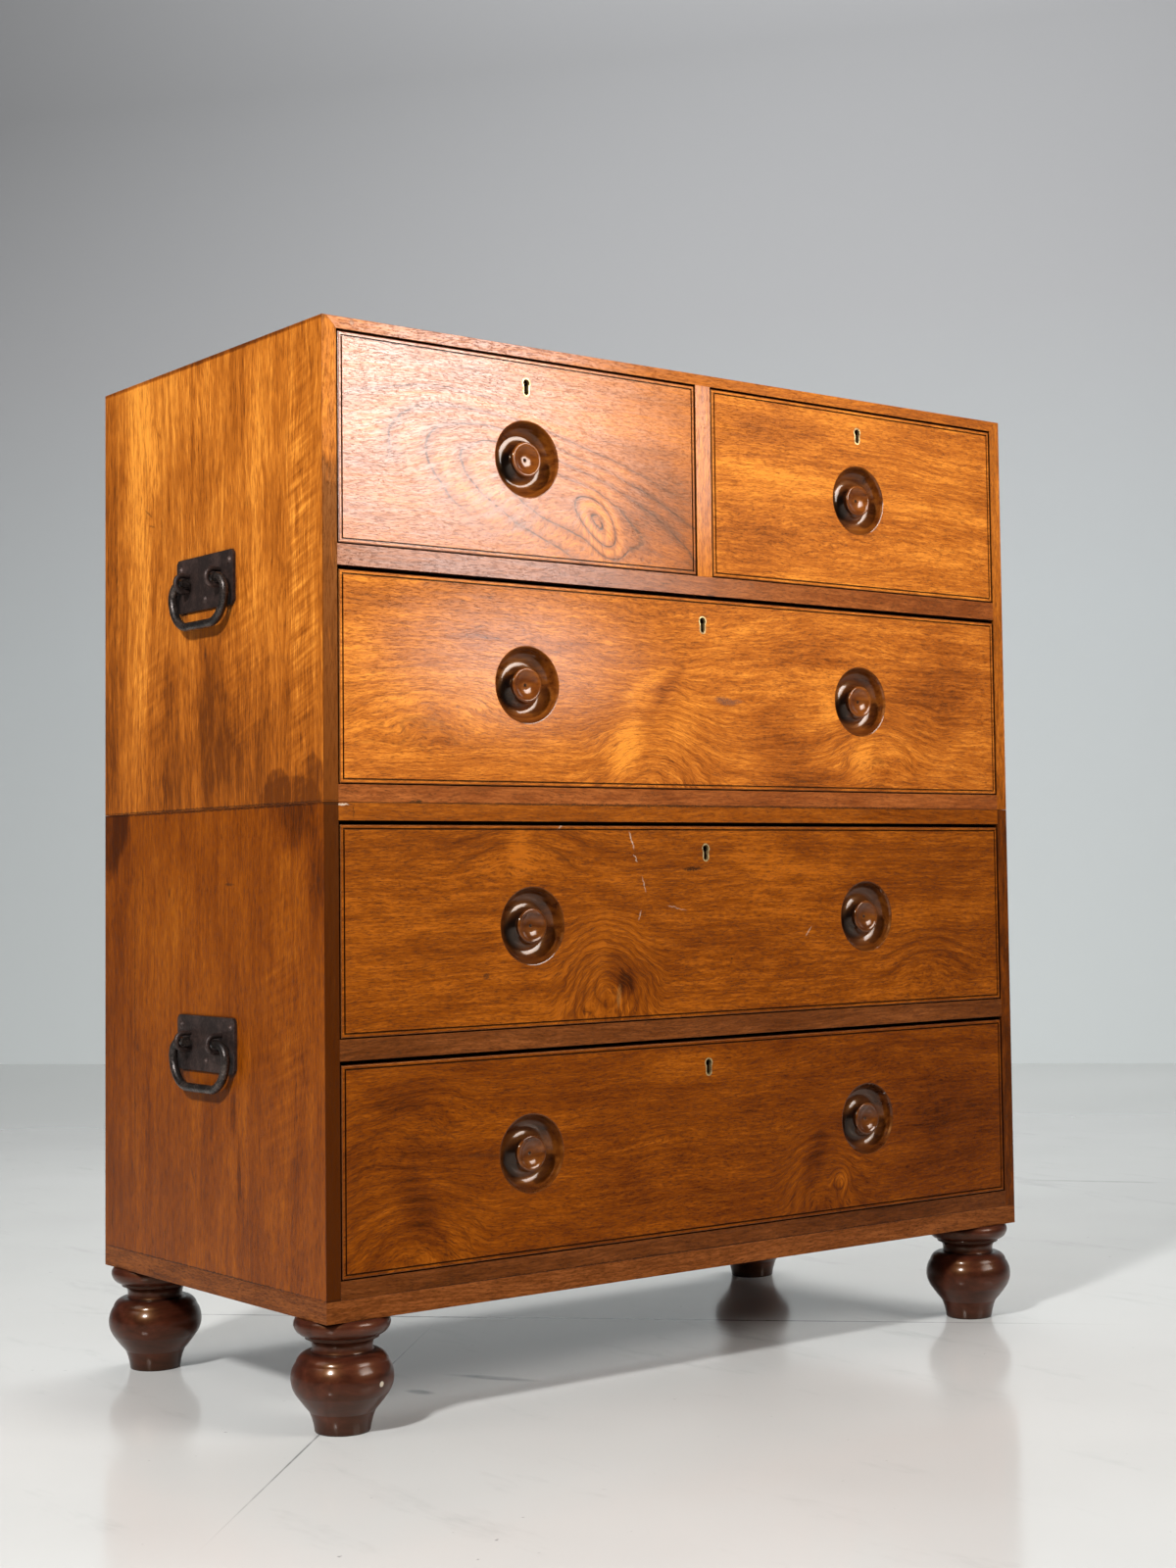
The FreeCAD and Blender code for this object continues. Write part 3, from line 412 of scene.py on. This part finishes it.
def iron(name, dark, light, roughness):
    """Blackened wrought iron: pitted, browned, and rubbed bare where hands touch it."""
    shader = Shader(name)
    x, y, z = shader.places()
    place = shader.vector(x, y, z)
    pits = shader.noise(place, 420.0, 5.0, 0.65)
    patch = shader.noise(place, 55.0, 4.0, 0.6)
    rubbed = (patch * 0.6 + pits * 0.4).smooth(0.42, 0.66)
    colour = shader.mix(rubbed, dark, light)
    shader.set(Base_Color=colour, Metallic=0.55, Normal=shader.bump(pits + patch * 0.8, 0.0006, 0.6))
    shader.set(Roughness=patch.smooth(0.3, 0.7, roughness + 0.12, roughness - 0.08))
    return shader.material


def brass(name, bright, tarnish, roughness):
    """Old brass with brown tarnish in its hollows."""
    shader = Shader(name)
    x, y, z = shader.places()
    spread = shader.noise(shader.vector(x, y, z), 260.0, 4.0, 0.6)
    colour = shader.mix(spread.smooth(0.38, 0.66), bright, tarnish)
    shader.set(Base_Color=colour, Metallic=0.85, Normal=shader.bump(spread, 0.0002, 0.4))
    shader.set(Roughness=roughness)
    return shader.material


def dress(material, *names):
    """Gives CAD nodes their material."""
    for name in names:
        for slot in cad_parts[name].material_slots:
            slot.material = material


def board(name, *look, **details):
    """Gives the node of that name a wood of its own."""
    dress(wood(name, *look, **details), name)


# ---------------------------------------------------------------- the two cases

def dress_cases():
    board(
        "upper_left_side", "side", UPPER_SIDE, 1, rings=0.20, streak=1.1, bright=0.06, flecks=60.0,
        hills=[((0.95, 0.100), (0.20, 0.060), 4, 1.5)],
        patches=[
            ((0.72, -0.2400), (0.26, 0.0014), 0, 0.3, -0.60),
            ((1.0885, 0.0), (0.0040, 0.40), 0, 0.7, -0.45),
            ((0.86, 0.226), (0.60, 0.020), 0, 0.4, -0.20),
            ((0.66, 0.00), (0.17, 0.40), 0, 0.9, -0.26),
            ((1.05, 0.10), (0.14, 0.16), 0, 0.9, 0.10),
            ((0.95, 0.155), (0.33, 0.045), 0, 0.9, 0.22),
            ((0.72, 0.165), (0.15, 0.040), 0, 0.9, 0.16),
            ((1.00, -0.110), (0.20, 0.035), 0, 0.9, 0.16),
            ((0.72, -0.010), (0.15, 0.060), 0, 0.7, -0.20),
            ((0.90, -0.055), (0.30, 0.025), 0, 0.8, -0.12),
            ((0.96, 0.084), (0.13, 0.007), -3, 0.8, -0.22),
            ((1.00, 0.030), (0.16, 0.006), 0, 0.8, -0.16),
            ((0.622, -0.150), (0.030, 0.028), 0, 0.15, -0.22),
            ((0.622, -0.215), (0.040, 0.034), 0, 0.15, -0.22),
            ((0.618, -0.176), (0.024, 0.065), 0, 0.15, -0.18),
        ],
        shine=[((1.06, -0.2400), (0.22, 0.0014), 0, 0.6, 0.45)],
        ribbon=[((0.84, -0.200), (0.36, 0.045), 1.0), ((0.76, -0.080), (0.16, 0.080), 0.45),
                ((0.74, 0.110), (0.12, 0.070), 0.45)],
        lines=[
            ((0.6135, 0.0), (0.0012, 0.40), 0, DARK_LINE, 0.8),
            ((0.8512, 0.2094), (0.30, 0.0010), 0, DARK_LINE, 0.60),
            ((0.7766, 0.0010), (0.009, 0.0016), 0, STAIN, 0.8),
            ((0.941, 0.132), (0.012, 0.0015), 60, STAIN, 0.6),
            ((0.926, 0.124), (0.010, 0.0013), 75, STAIN, 0.6),
        ])
    board(
        "lower_left_side", "side", LOWER_SIDE, 2, specular=0.2, wander=0.8, rings=0.16, roughness=0.34,
        flecks=90.0, streak=0.8,
        patches=[
            ((0.37, -0.2400), (0.40, 0.0014), 0, 0.3, -0.62),
            ((0.36, 0.205), (0.50, 0.036), 0, 0.2, -0.08),
            ((0.47, 0.095), (0.16, 0.050), 0, 0.9, 0.26),
            ((0.40, 0.030), (0.20, 0.030), 0, 0.9, 0.10),
            ((0.600, 0.222), (0.070, 0.046), -28, 0.35, -0.30),
            ((0.610, -0.190), (0.060, 0.070), 20, 0.7, -0.28),
            ((0.540, -0.225), (0.070, 0.030), 0, 0.8, -0.22),
            ((0.30, -0.056), (0.030, 0.009), 0, 0.6, -0.32),
            ((0.24, -0.068), (0.045, 0.005), 0, 0.6, -0.24),
            ((0.16, -0.140), (0.060, 0.090), 0, 0.9, -0.08),
        ],
        ribbon=[((0.38, -0.160), (0.22, 0.075), 0.55)],
        lines=[
            ((0.6108, 0.0), (0.0014, 0.40), 0, DARK_LINE, 0.85),
            ((0.1342, 0.0), (0.0012, 0.40), 0, DARK_LINE, 0.85),
            ((0.3700, 0.1658), (0.27, 0.0012), 0, DARK_LINE, 0.85),
            ((0.1520, 0.0948), (0.024, 0.0008), 0, DARK_LINE, 0.9),
            ((0.5370, 0.1476), (0.022, 0.0007), 0, DARK_LINE, 0.6),
            ((0.5334, -0.0498), (0.0016, 0.013), 0, STAIN, 0.8),
            ((0.5244, 0.0848), (0.006, 0.0022), 0, STAIN, 0.8),
            ((0.5106, 0.2175), (0.005, 0.0020), 0, STAIN, 0.7),
            ((0.2310, 0.0321), (0.016, 0.0012), 28, STAIN, 0.7),
            ((0.2482, 0.1162), (0.018, 0.0011), 20, STAIN, 0.6),
            ((0.1643, 0.2232), (0.014, 0.0014), 0, DARK_LINE, 0.8),
            ((0.3562, 0.1592), (0.006, 0.0045), 0, STAIN, 0.6),
        ])
    board(
        "upper_right_side", "side", UPPER_SIDE, 11, wander=1.1, rings=0.2,
        patches=[((0.85, -0.2400), (0.40, 0.0014), 0, 0.3, -0.10)],
        ribbon=[((0.80, 0.100), (0.30, 0.060), 0.4)])
    board(
        "lower_right_side", "side", LOWER_SIDE, 12, wander=0.9, rings=0.18,
        patches=[((0.37, -0.2400), (0.40, 0.0014), 0, 0.3, -0.30)])
    board(
        "upper_top", "front", UPPER_FRONT, 3, rings=0.25,
        shine=[((-0.30, 1.084), (0.30, 0.05), 0, 0.9, 0.5)],
        lines=[
            ((-0.4460, 1.0862), (0.0042, 0.0036), 0, WORN_RING, 0.85),
            ((-0.4460, 1.0862), (0.0028, 0.0024), 0, WORN_MIDDLE, 0.8),
        ])
    board(
        "upper_bottom", "front", RAIL_WOOD, 4, rings=0.12, bright=0.10,
        lines=[
            ((0.0, 0.6128), (0.6, 0.0008), 0, DARK_LINE, 0.8),
            ((-0.3709, 0.6135), (0.0050, 0.0022), 0, DARK_LINE, 1.0),
            ((-0.3780, 0.6130), (0.0100, 0.0010), 0, DARK_LINE, 0.9),
            ((0.4700, 0.6130), (0.0060, 0.0010), 0, CHIP_COLOUR, 0.9),
        ])
    board(
        "upper_rail", "front", RAIL_WOOD, 5, rings=0.12, bright=0.10,
        shine=[((-0.26, 0.855), (0.46, 0.10), 0, 0.9, 0.8)],
        lines=[
            ((-0.0512, 0.8540), (0.0120, 0.0010), 0, DARK_LINE, 0.75),
            ((0.0129, 0.8450), (0.0080, 0.0016), 0, DARK_LINE, 0.9),
        ])
    board(
        "upper_muntin", "post", UPPER_FRONT, 6, rings=0.1, bright=0.18,
        shine=[((1.00, 0.0), (0.16, 0.06), 0, 0.7, 0.35)])
    board(
        "lower_top", "front", LOWER_SIDE, 7, rings=0.15,
        lines=[
            ((0.0, 0.6114), (0.6, 0.0008), 0, DARK_LINE, 0.8),
            ((-0.4469, 0.6030), (0.0006, 0.0100), 0, DARK_LINE, 0.9),
            ((-0.4600, 0.6100), (0.0100, 0.0012), 0, CHIP_COLOUR, 0.8),
        ])
    board("lower_rail", "front", BASE_WOOD, 8, rings=0.12, specular=0.2, bright=0.04)
    board(
        "lower_bottom", "front", BASE_WOOD, 9, rings=0.12, specular=0.2, bright=-0.04,
        lines=[((0.0, 0.1338), (0.6, 0.0009), 0, DARK_LINE, 0.8)])
    board("base_frame", "front", BASE_WOOD, 10, rings=0.12, specular=0.10, bright=0.20, mitred=True)
    backs = wood("back_boards", "side", INNER_WOOD, 13, roughness=0.6, pores=0.6)
    inner = wood("inner_boards", "top", INNER_WOOD, 14, rings=0.2, roughness=0.65, pores=0.6)
    dress(backs, "upper_back", "lower_back")
    dress(inner, "upper_dust_board", "lower_dust_board", "upper_drawer_guide", "locating_pegs")


# ---------------------------------------------------------------- drawers

def keyhole_place(lock):
    """The middle, half size and depth of the brass thread that lines a keyhole."""
    points = [vertex.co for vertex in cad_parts[lock].data.vertices]
    face = min(point.y for point in points)
    ring = [point for point in points if point.y < face + THREAD_RISE]
    low_x, high_x = min(point.x for point in ring), max(point.x for point in ring)
    low_z, high_z = min(point.z for point in ring), max(point.z for point in ring)
    middle = ((low_x + high_x) / 2, (low_z + high_z) / 2)
    return middle, ((high_x - low_x) / 2, (high_z - low_z) / 2), face + THREAD_RISE


def dress_drawers():
    fronts = {
        1: dict(tones=UPPER_FRONT, seed=21, roughness=0.34, rings=0.55, wander=0.6, crooked=0.10,
                bright=0.02, pitch=18.0, streak=0.65, flecks=170.0, pores=0.7,
                shine=[((-0.41, 1.00), (0.58, 0.36), -14, 0.80, 0.80)],
                hills=[((-0.205, 0.945), (0.300, 0.085), -17, -3.6),
                       ((-0.140, 0.908), (0.060, 0.030), -55, -1.6)],
                patches=[((-0.139, 0.915), (0.040, 0.035), -35, 0.9, 0.22),
                         ((-0.050, 0.930), (0.080, 0.100), 20, 0.9, -0.26)]),
        2: dict(tones=UPPER_FRONT, seed=22, rings=0.10, wander=0.9, streak=1.15, bright=0.10,
                hills=[((0.20, 0.960), (0.50, 0.070), 0, -1.2)],
                patches=[((0.18, 0.985), (0.260, 0.022), -4, 0.9, 0.20),
                         ((0.36, 0.915), (0.140, 0.040), 0, 0.9, 0.14),
                         ((0.08, 0.900), (0.090, 0.060), 20, 0.9, -0.18),
                         ((0.10, 1.040), (0.140, 0.030), 0, 0.9, -0.12)]),
        3: dict(tones=UPPER_FRONT, seed=23, specular=0.35, rings=0.20, wander=1.3, streak=1.2, bright=0.06,
                shine=[((-0.25, 0.76), (0.24, 0.12), 0, 0.9, 0.75)],
                hills=[((-0.075, 0.655), (0.120, 0.110), 50, -4.0),
                       ((0.270, 0.690), (0.110, 0.070), 10, -2.4),
                       ((-0.360, 0.715), (0.160, 0.060), 6, -1.4)],
                patches=[((-0.110, 0.672), (0.050, 0.030), 60, 0.9, 0.40),
                         ((-0.082, 0.742), (0.060, 0.018), 35, 0.9, 0.26),
                         ((-0.025, 0.705), (0.045, 0.030), 50, 0.9, 0.14),
                         ((-0.055, 0.735), (0.060, 0.012), 48, 0.9, -0.18),
                         ((0.185, 0.735), (0.030, 0.060), 15, 0.9, 0.18),
                         ((0.245, 0.665), (0.035, 0.035), 0, 0.9, 0.20),
                         ((0.110, 0.680), (0.060, 0.070), 10, 0.9, -0.16),
                         ((-0.300, 0.720), (0.170, 0.050), 6, 0.9, 0.16),
                         # painted shade: darker towards the drawer's right end
                         ((0.370, 0.760), (0.130, 0.070), 0, 0.9, -0.26),
                         ((0.150, 0.645), (0.080, 0.030), 0, 0.9, -0.26)],
                lines=[((0.0309, 0.7285), (0.020, 0.0055), -8, DEEP_STAIN, 0.75),
                       ((0.0480, 0.7290), (0.012, 0.0030), 0, DEEP_STAIN, 0.5)]),
        4: dict(tones=LOWER_FRONT, seed=24, specular=0.18, wander=0.8, bright=0.14,
                hills=[((-0.138, 0.428), (0.085, 0.085), 0, -6.0),
                       ((0.345, 0.435), (0.095, 0.052), 0, -1.5),
                       ((-0.240, 0.572), (0.120, 0.050), 10, -1.2)],
                patches=[((-0.112, 0.425), (0.016, 0.022), 0, 0.8, -0.40),
                         ((-0.128, 0.437), (0.020, 0.045), 0, 0.9, -0.14),
                         # painted shade: darker towards the drawer's right end
                         ((0.300, 0.540), (0.160, 0.070), 0, 0.9, -0.12),
                         ((-0.146, 0.452), (0.018, 0.030), 0, 0.9, 0.10),
                         ((-0.250, 0.572), (0.022, 0.050), 0, 0.9, 0.24),
                         ((0.080, 0.560), (0.070, 0.035), -12, 0.9, 0.18),
                         ((0.150, 0.415), (0.090, 0.030), 0, 0.9, 0.10),
                         ((0.060, 0.460), (0.120, 0.030), -6, 0.9, -0.16),
                         ((-0.100, 0.500), (0.110, 0.016), -24, 0.9, -0.16)],
                lines=[((-0.0200, 0.5439), (0.0170, 0.0032), 2, DARK_LINE, 0.9),
                       ((-0.1030, 0.5750), (0.0120, 0.0013), -72, CHIP_COLOUR, 0.50),
                       ((-0.0980, 0.5560), (0.0060, 0.0010), -60, CHIP_COLOUR, 0.50),
                       ((-0.0870, 0.5280), (0.0110, 0.0012), -75, CHIP_COLOUR, 0.36),
                       ((-0.0930, 0.4950), (0.0070, 0.0012), 70, CHIP_COLOUR, 0.35),
                       ((-0.0420, 0.5020), (0.0170, 0.0010), -12, CHIP_COLOUR, 0.22),
                       ((0.1500, 0.4720), (0.0080, 0.0012), 50, CHIP_COLOUR, 0.40),
                       ((-0.1960, 0.5900), (0.0080, 0.0012), 40, CHIP_COLOUR, 0.45),
                       ((-0.2922, 0.4374), (0.0050, 0.0040), 0, STAIN, 0.8),
                       ((0.0350, 0.4450), (0.0022, 0.0018), 0, DARK_LINE, 0.8),
                       ((-0.1225, 0.4100), (0.0150, 0.0042), 85, PALE_STREAK, 0.6)]),
        5: dict(tones=LOWER_FRONT, seed=25, specular=0.15, rings=0.22, wander=1.2, streak=0.8,
                hills=[((0.170, 0.190), (0.090, 0.080), 30, -3.2),
                       ((-0.385, 0.195), (0.110, 0.085), 0, -3.0),
                       ((-0.390, 0.300), (0.120, 0.050), 20, -1.6),
                       ((0.195, 0.190), (0.022, 0.022), 0, -2.0)],
                patches=[((0.155, 0.215), (0.022, 0.050), -25, 0.9, -0.24),
                         ((0.197, 0.190), (0.016, 0.018), 0, 0.8, 0.22),
                         ((-0.375, 0.215), (0.030, 0.060), 25, 0.9, -0.22),
                         ((-0.390, 0.318), (0.070, 0.030), 0, 0.9, -0.16),
                         ((-0.230, 0.215), (0.140, 0.030), 8, 0.9, 0.10),
                         ((-0.030, 0.330), (0.100, 0.024), 0, 0.9, 0.12),
                         # painted shade: darker towards the drawer's right end
                         ((0.380, 0.250), (0.130, 0.120), 0, 0.9, -0.16)],
                lines=[((-0.300, 0.258), (0.045, 0.0022), -4, STAIN, 0.5),
                       ((-0.345, 0.285), (0.030, 0.0018), -30, STAIN, 0.4)]),
    }
    sides = wood("drawer_sides", "runner", INNER_WOOD, 31, rings=0.2, roughness=0.6, pores=0.6, crease_grime_and_shade=0)
    backs = wood("drawer_backs", "front", INNER_WOOD, 32, rings=0.2, roughness=0.6, pores=0.6, crease_grime_and_shade=0)
    bottoms = wood("drawer_bottoms", "top", INNER_WOOD, 33, roughness=0.65, pores=0.6, crease_grime_and_shade=0)
    lock_brass = brass("lock_brass", (0.62, 0.46, 0.22), (0.24, 0.15, 0.07), 0.36)
    bolt_iron = iron("bolt_iron", (0.11, 0.10, 0.09), (0.30, 0.28, 0.26), 0.36)
    for number, look in fronts.items():
        label = "drawer_%d_" % number
        keyhole = keyhole_place(label + "lock")
        board(label + "front", "front", keyhole=keyhole, **look)
        dress(sides, label + "sides")
        dress(backs, label + "back")
        dress(bottoms, label + "bottom")
        dress(lock_brass, label + "lock")
        dress(bolt_iron, label + "bolt")
        low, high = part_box(label + "pulls")
        middle = (low.z + high.z) / 2
        radius = (high.z - low.z) / 2
        pips = [(low.x + radius, middle), (high.x - radius, middle)]
        tones = UPPER_TURNED if number < 4 else LOWER_TURNED
        pulls = turned(label + "pulls", tones, number, roughness=0.30, coat=0.6, specular=0.25, pips=pips)
        dress(pulls, label + "pulls")


# ---------------------------------------------------------------- ironwork and feet

def dress_fittings():
    plate = iron("plate_iron", (0.022, 0.013, 0.011), (0.080, 0.048, 0.040), 0.46)
    bail = iron("bail_iron", (0.012, 0.009, 0.008), (0.075, 0.055, 0.046), 0.28)
    dress(plate, "upper_handle_mounts", "lower_handle_mounts")
    dress(bail, *[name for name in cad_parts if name.endswith("_bail")])
    feet = turned("feet", FOOT_WOOD, 3, roughness=0.36, coat=0.35, specular=0.25, chips=[(-0.424, 0.050)],
                  blur=0.16)
    dress(feet, "feet")


# ---------------------------------------------------------------- studio

def camera_axes():
    """The camera's right, up and forward directions."""
    heading = math.radians(CAMERA_HEADING)
    rise = math.radians(CAMERA_RISE)
    roll = math.radians(CAMERA_ROLL)
    ahead = Vector((math.sin(heading) * math.cos(rise), math.cos(heading) * math.cos(rise), math.sin(rise)))
    level = Vector((math.cos(heading), -math.sin(heading), 0))
    upward = level.cross(ahead)
    right = math.cos(roll) * level + math.sin(roll) * upward
    top = math.cos(roll) * upward - math.sin(roll) * level
    return right, top, ahead


def floor_point(pixel):
    """The place on the floor that a pixel of the photograph shows."""
    right, top, ahead = camera_axes()
    sideways = (pixel[0] - CENTRE_PIXEL[0]) / FOCAL_PIXELS
    upwards = (CENTRE_PIXEL[1] - pixel[1]) / FOCAL_PIXELS
    way = ahead + sideways * right + upwards * top
    return CAMERA_PLACE - way * (CAMERA_PLACE.z / way.z)


def make_camera():
    """A camera that matches the one fitted to the photograph."""
    right, top, ahead = camera_axes()
    data = bpy.data.cameras.new("camera")
    camera = bpy.data.objects.new("camera", data)
    bpy.context.collection.objects.link(camera)
    turn = Matrix((right, top, -ahead)).transposed()
    camera.matrix_world = Matrix.Translation(CAMERA_PLACE) @ turn.to_4x4()
    longest = max(FRAME_PIXELS)
    data.sensor_fit = "AUTO"
    data.sensor_width = SENSOR
    data.lens = SENSOR * FOCAL_PIXELS / longest
    data.shift_x = (FRAME_PIXELS[0] / 2 - CENTRE_PIXEL[0]) / longest
    data.shift_y = (CENTRE_PIXEL[1] - FRAME_PIXELS[1] / 2) / longest
    data.clip_start = 0.05
    data.clip_end = 100
    bpy.context.scene.camera = camera


def panel(name, corners, material):
    """A flat four-sided piece of the studio."""
    mesh = bpy.data.meshes.new(name)
    mesh.from_pydata([tuple(corner) for corner in corners], [], [(0, 1, 2, 3)])
    mesh.materials.append(material)
    made = bpy.data.objects.new(name, mesh)
    bpy.context.collection.objects.link(made)


def floor_mark(shader, ground, ends, half_width, depth, worn):
    """How strongly a straight mark between two pixels' places darkens the floor."""
    first, last = (floor_point(pixel) for pixel in ends)
    middle = (first + last) / 2
    run = last - first
    half = run.length / 2
    turn = math.degrees(math.atan2(run.y, run.x))
    mark = shader.reach(ground, (middle.x, middle.y), (half, half_width), turn)
    return mark.smooth(1.0, 0.3, 0.0, depth) * worn


def floor_material():
    """Pale painted floor in panels, scuffed, with thin dark joints and painted shade that darkens it
    farther from the camera.
    """
    shader = Shader("floor")
    x, y, z = shader.places()
    ground = shader.vector(x, y)
    colour = shader.ramp(shader.noise(ground, 1.6, 3.0), FLOOR_TONES, (0.3, 0.7))
    scuff = shader.noise(shader.vector(x * 9.0, y * 2.5), 1.0, 5.0, 0.7).smooth(0.55, 0.78, 0.0, 0.22)
    speck = shader.noise(ground, 75.0, 2.0).smooth(0.74, 0.80, 0.0, 0.55)
    worn = shader.noise(ground, 26.0, 3.0).smooth(0.30, 0.60, 0.55, 1.0)
    heading = math.radians(CAMERA_HEADING)
    distance = x * math.sin(heading) + y * math.cos(heading)
    # painted shade: the floor darkens with distance from the camera
    colour = shader.mix(distance.smooth(0.2, 3.0, 0.0, 0.56), colour, FLOOR_DIRT_AND_SHADE)
    colour = shader.mix(scuff, colour, FLOOR_DIRT_AND_SHADE)
    colour = shader.mix(speck, colour, FLOOR_DIRT_AND_SHADE)
    for ends, width, depth in zip(FLOOR_JOINT_PIXELS, FLOOR_JOINT_WIDTHS, FLOOR_JOINT_DEPTHS):
        colour = shader.mix(floor_mark(shader, ground, ends, width, depth, worn), colour, FLOOR_DIRT_AND_SHADE)
    for ends in FLOOR_SCUFF_PIXELS:
        mark = floor_mark(shader, ground, ends, FLOOR_SCUFF_WIDTH, FLOOR_SCUFF_DEPTH, worn)
        colour = shader.mix(mark, colour, FLOOR_DIRT_AND_SHADE)
    shader.set(Base_Color=colour, Roughness=0.13, IOR=1.45)
    return shader.material


def wall_material():
    """Matt grey paint, with painted shade that darkens it towards the top and a little towards the left."""
    shader = Shader("wall")
    x, y, z = shader.places()
    height = z - (x - y) * WALL_SHADE_LEAN
    shader.set(Base_Color=shader.ramp(height * (1 / WALL_REACH), WALL_TONES, WALL_STOPS), Roughness=0.9)
    return shader.material


def make_stage():
    left, right = (floor_point(pixel) for pixel in WALL_FOOT_PIXELS)
    run = (right - left).normalized()
    far_left = left - run * WALL_OVERHANG
    far_right = right + run * WALL_OVERHANG
    rise = Vector((0, 0, WALL_HEIGHT))
    toward = Vector((run.y, -run.x, 0)) * FLOOR_LENGTH
    panel("wall", (far_left, far_right, far_right + rise, far_left + rise), wall_material())
    panel("floor", (far_left + toward, far_right + toward, far_right, far_left), floor_material())


def softbox(name, place, target, size, power, colour=(1, 1, 1), spread=180):
    """A rectangular lamp that faces a target, of that size in metres and power in watts."""
    data = bpy.data.lights.new(name, "AREA")
    data.shape = "RECTANGLE"
    data.spread = math.radians(spread)
    data.size, data.size_y = size
    data.energy = power
    data.color = colour
    lamp = bpy.data.objects.new(name, data)
    bpy.context.collection.objects.link(lamp)
    lamp.location = place
    lamp.rotation_mode = "QUATERNION"
    lamp.rotation_quaternion = (Vector(target) - Vector(place)).to_track_quat("-Z", "Y")


def make_lights():
    softbox("key", (1.05, -2.75, 1.95), (-0.2, -0.2, 1.15), (1.6, 1.2), power=20, colour=(1.0, 0.97, 0.94),
            spread=70)
    softbox("left", (-2.5, 0.3, 2.7), (-0.4, 0.0, 0.85), (1.3, 1.5), power=20, colour=(1.0, 0.97, 0.92))
    softbox("near_left", (-3.4, -1.7, 2.8), (-0.4, -0.8, 0.0), (0.4, 0.4), power=215)
    softbox("far_overhead", (1.9, 1.6, 4.5), (2.6, 3.6, 0.2), (4.0, 2.4), power=185)
    softbox("right_floor", (3.2, 0.6, 3.6), (2.0, 1.5, 0.0), (1.2, 1.2), power=12, spread=70)
    world = bpy.data.worlds.new("studio")
    world.use_nodes = True
    background = world.node_tree.nodes["Background"]
    background.inputs["Color"].default_value = (*SKY_COLOUR, 1)
    background.inputs["Strength"].default_value = SKY_STRENGTH
    bpy.context.scene.world = world
    bpy.context.scene.view_settings.view_transform = "Standard"


dress_cases()
dress_drawers()
dress_fittings()
make_stage()
make_camera()
make_lights()
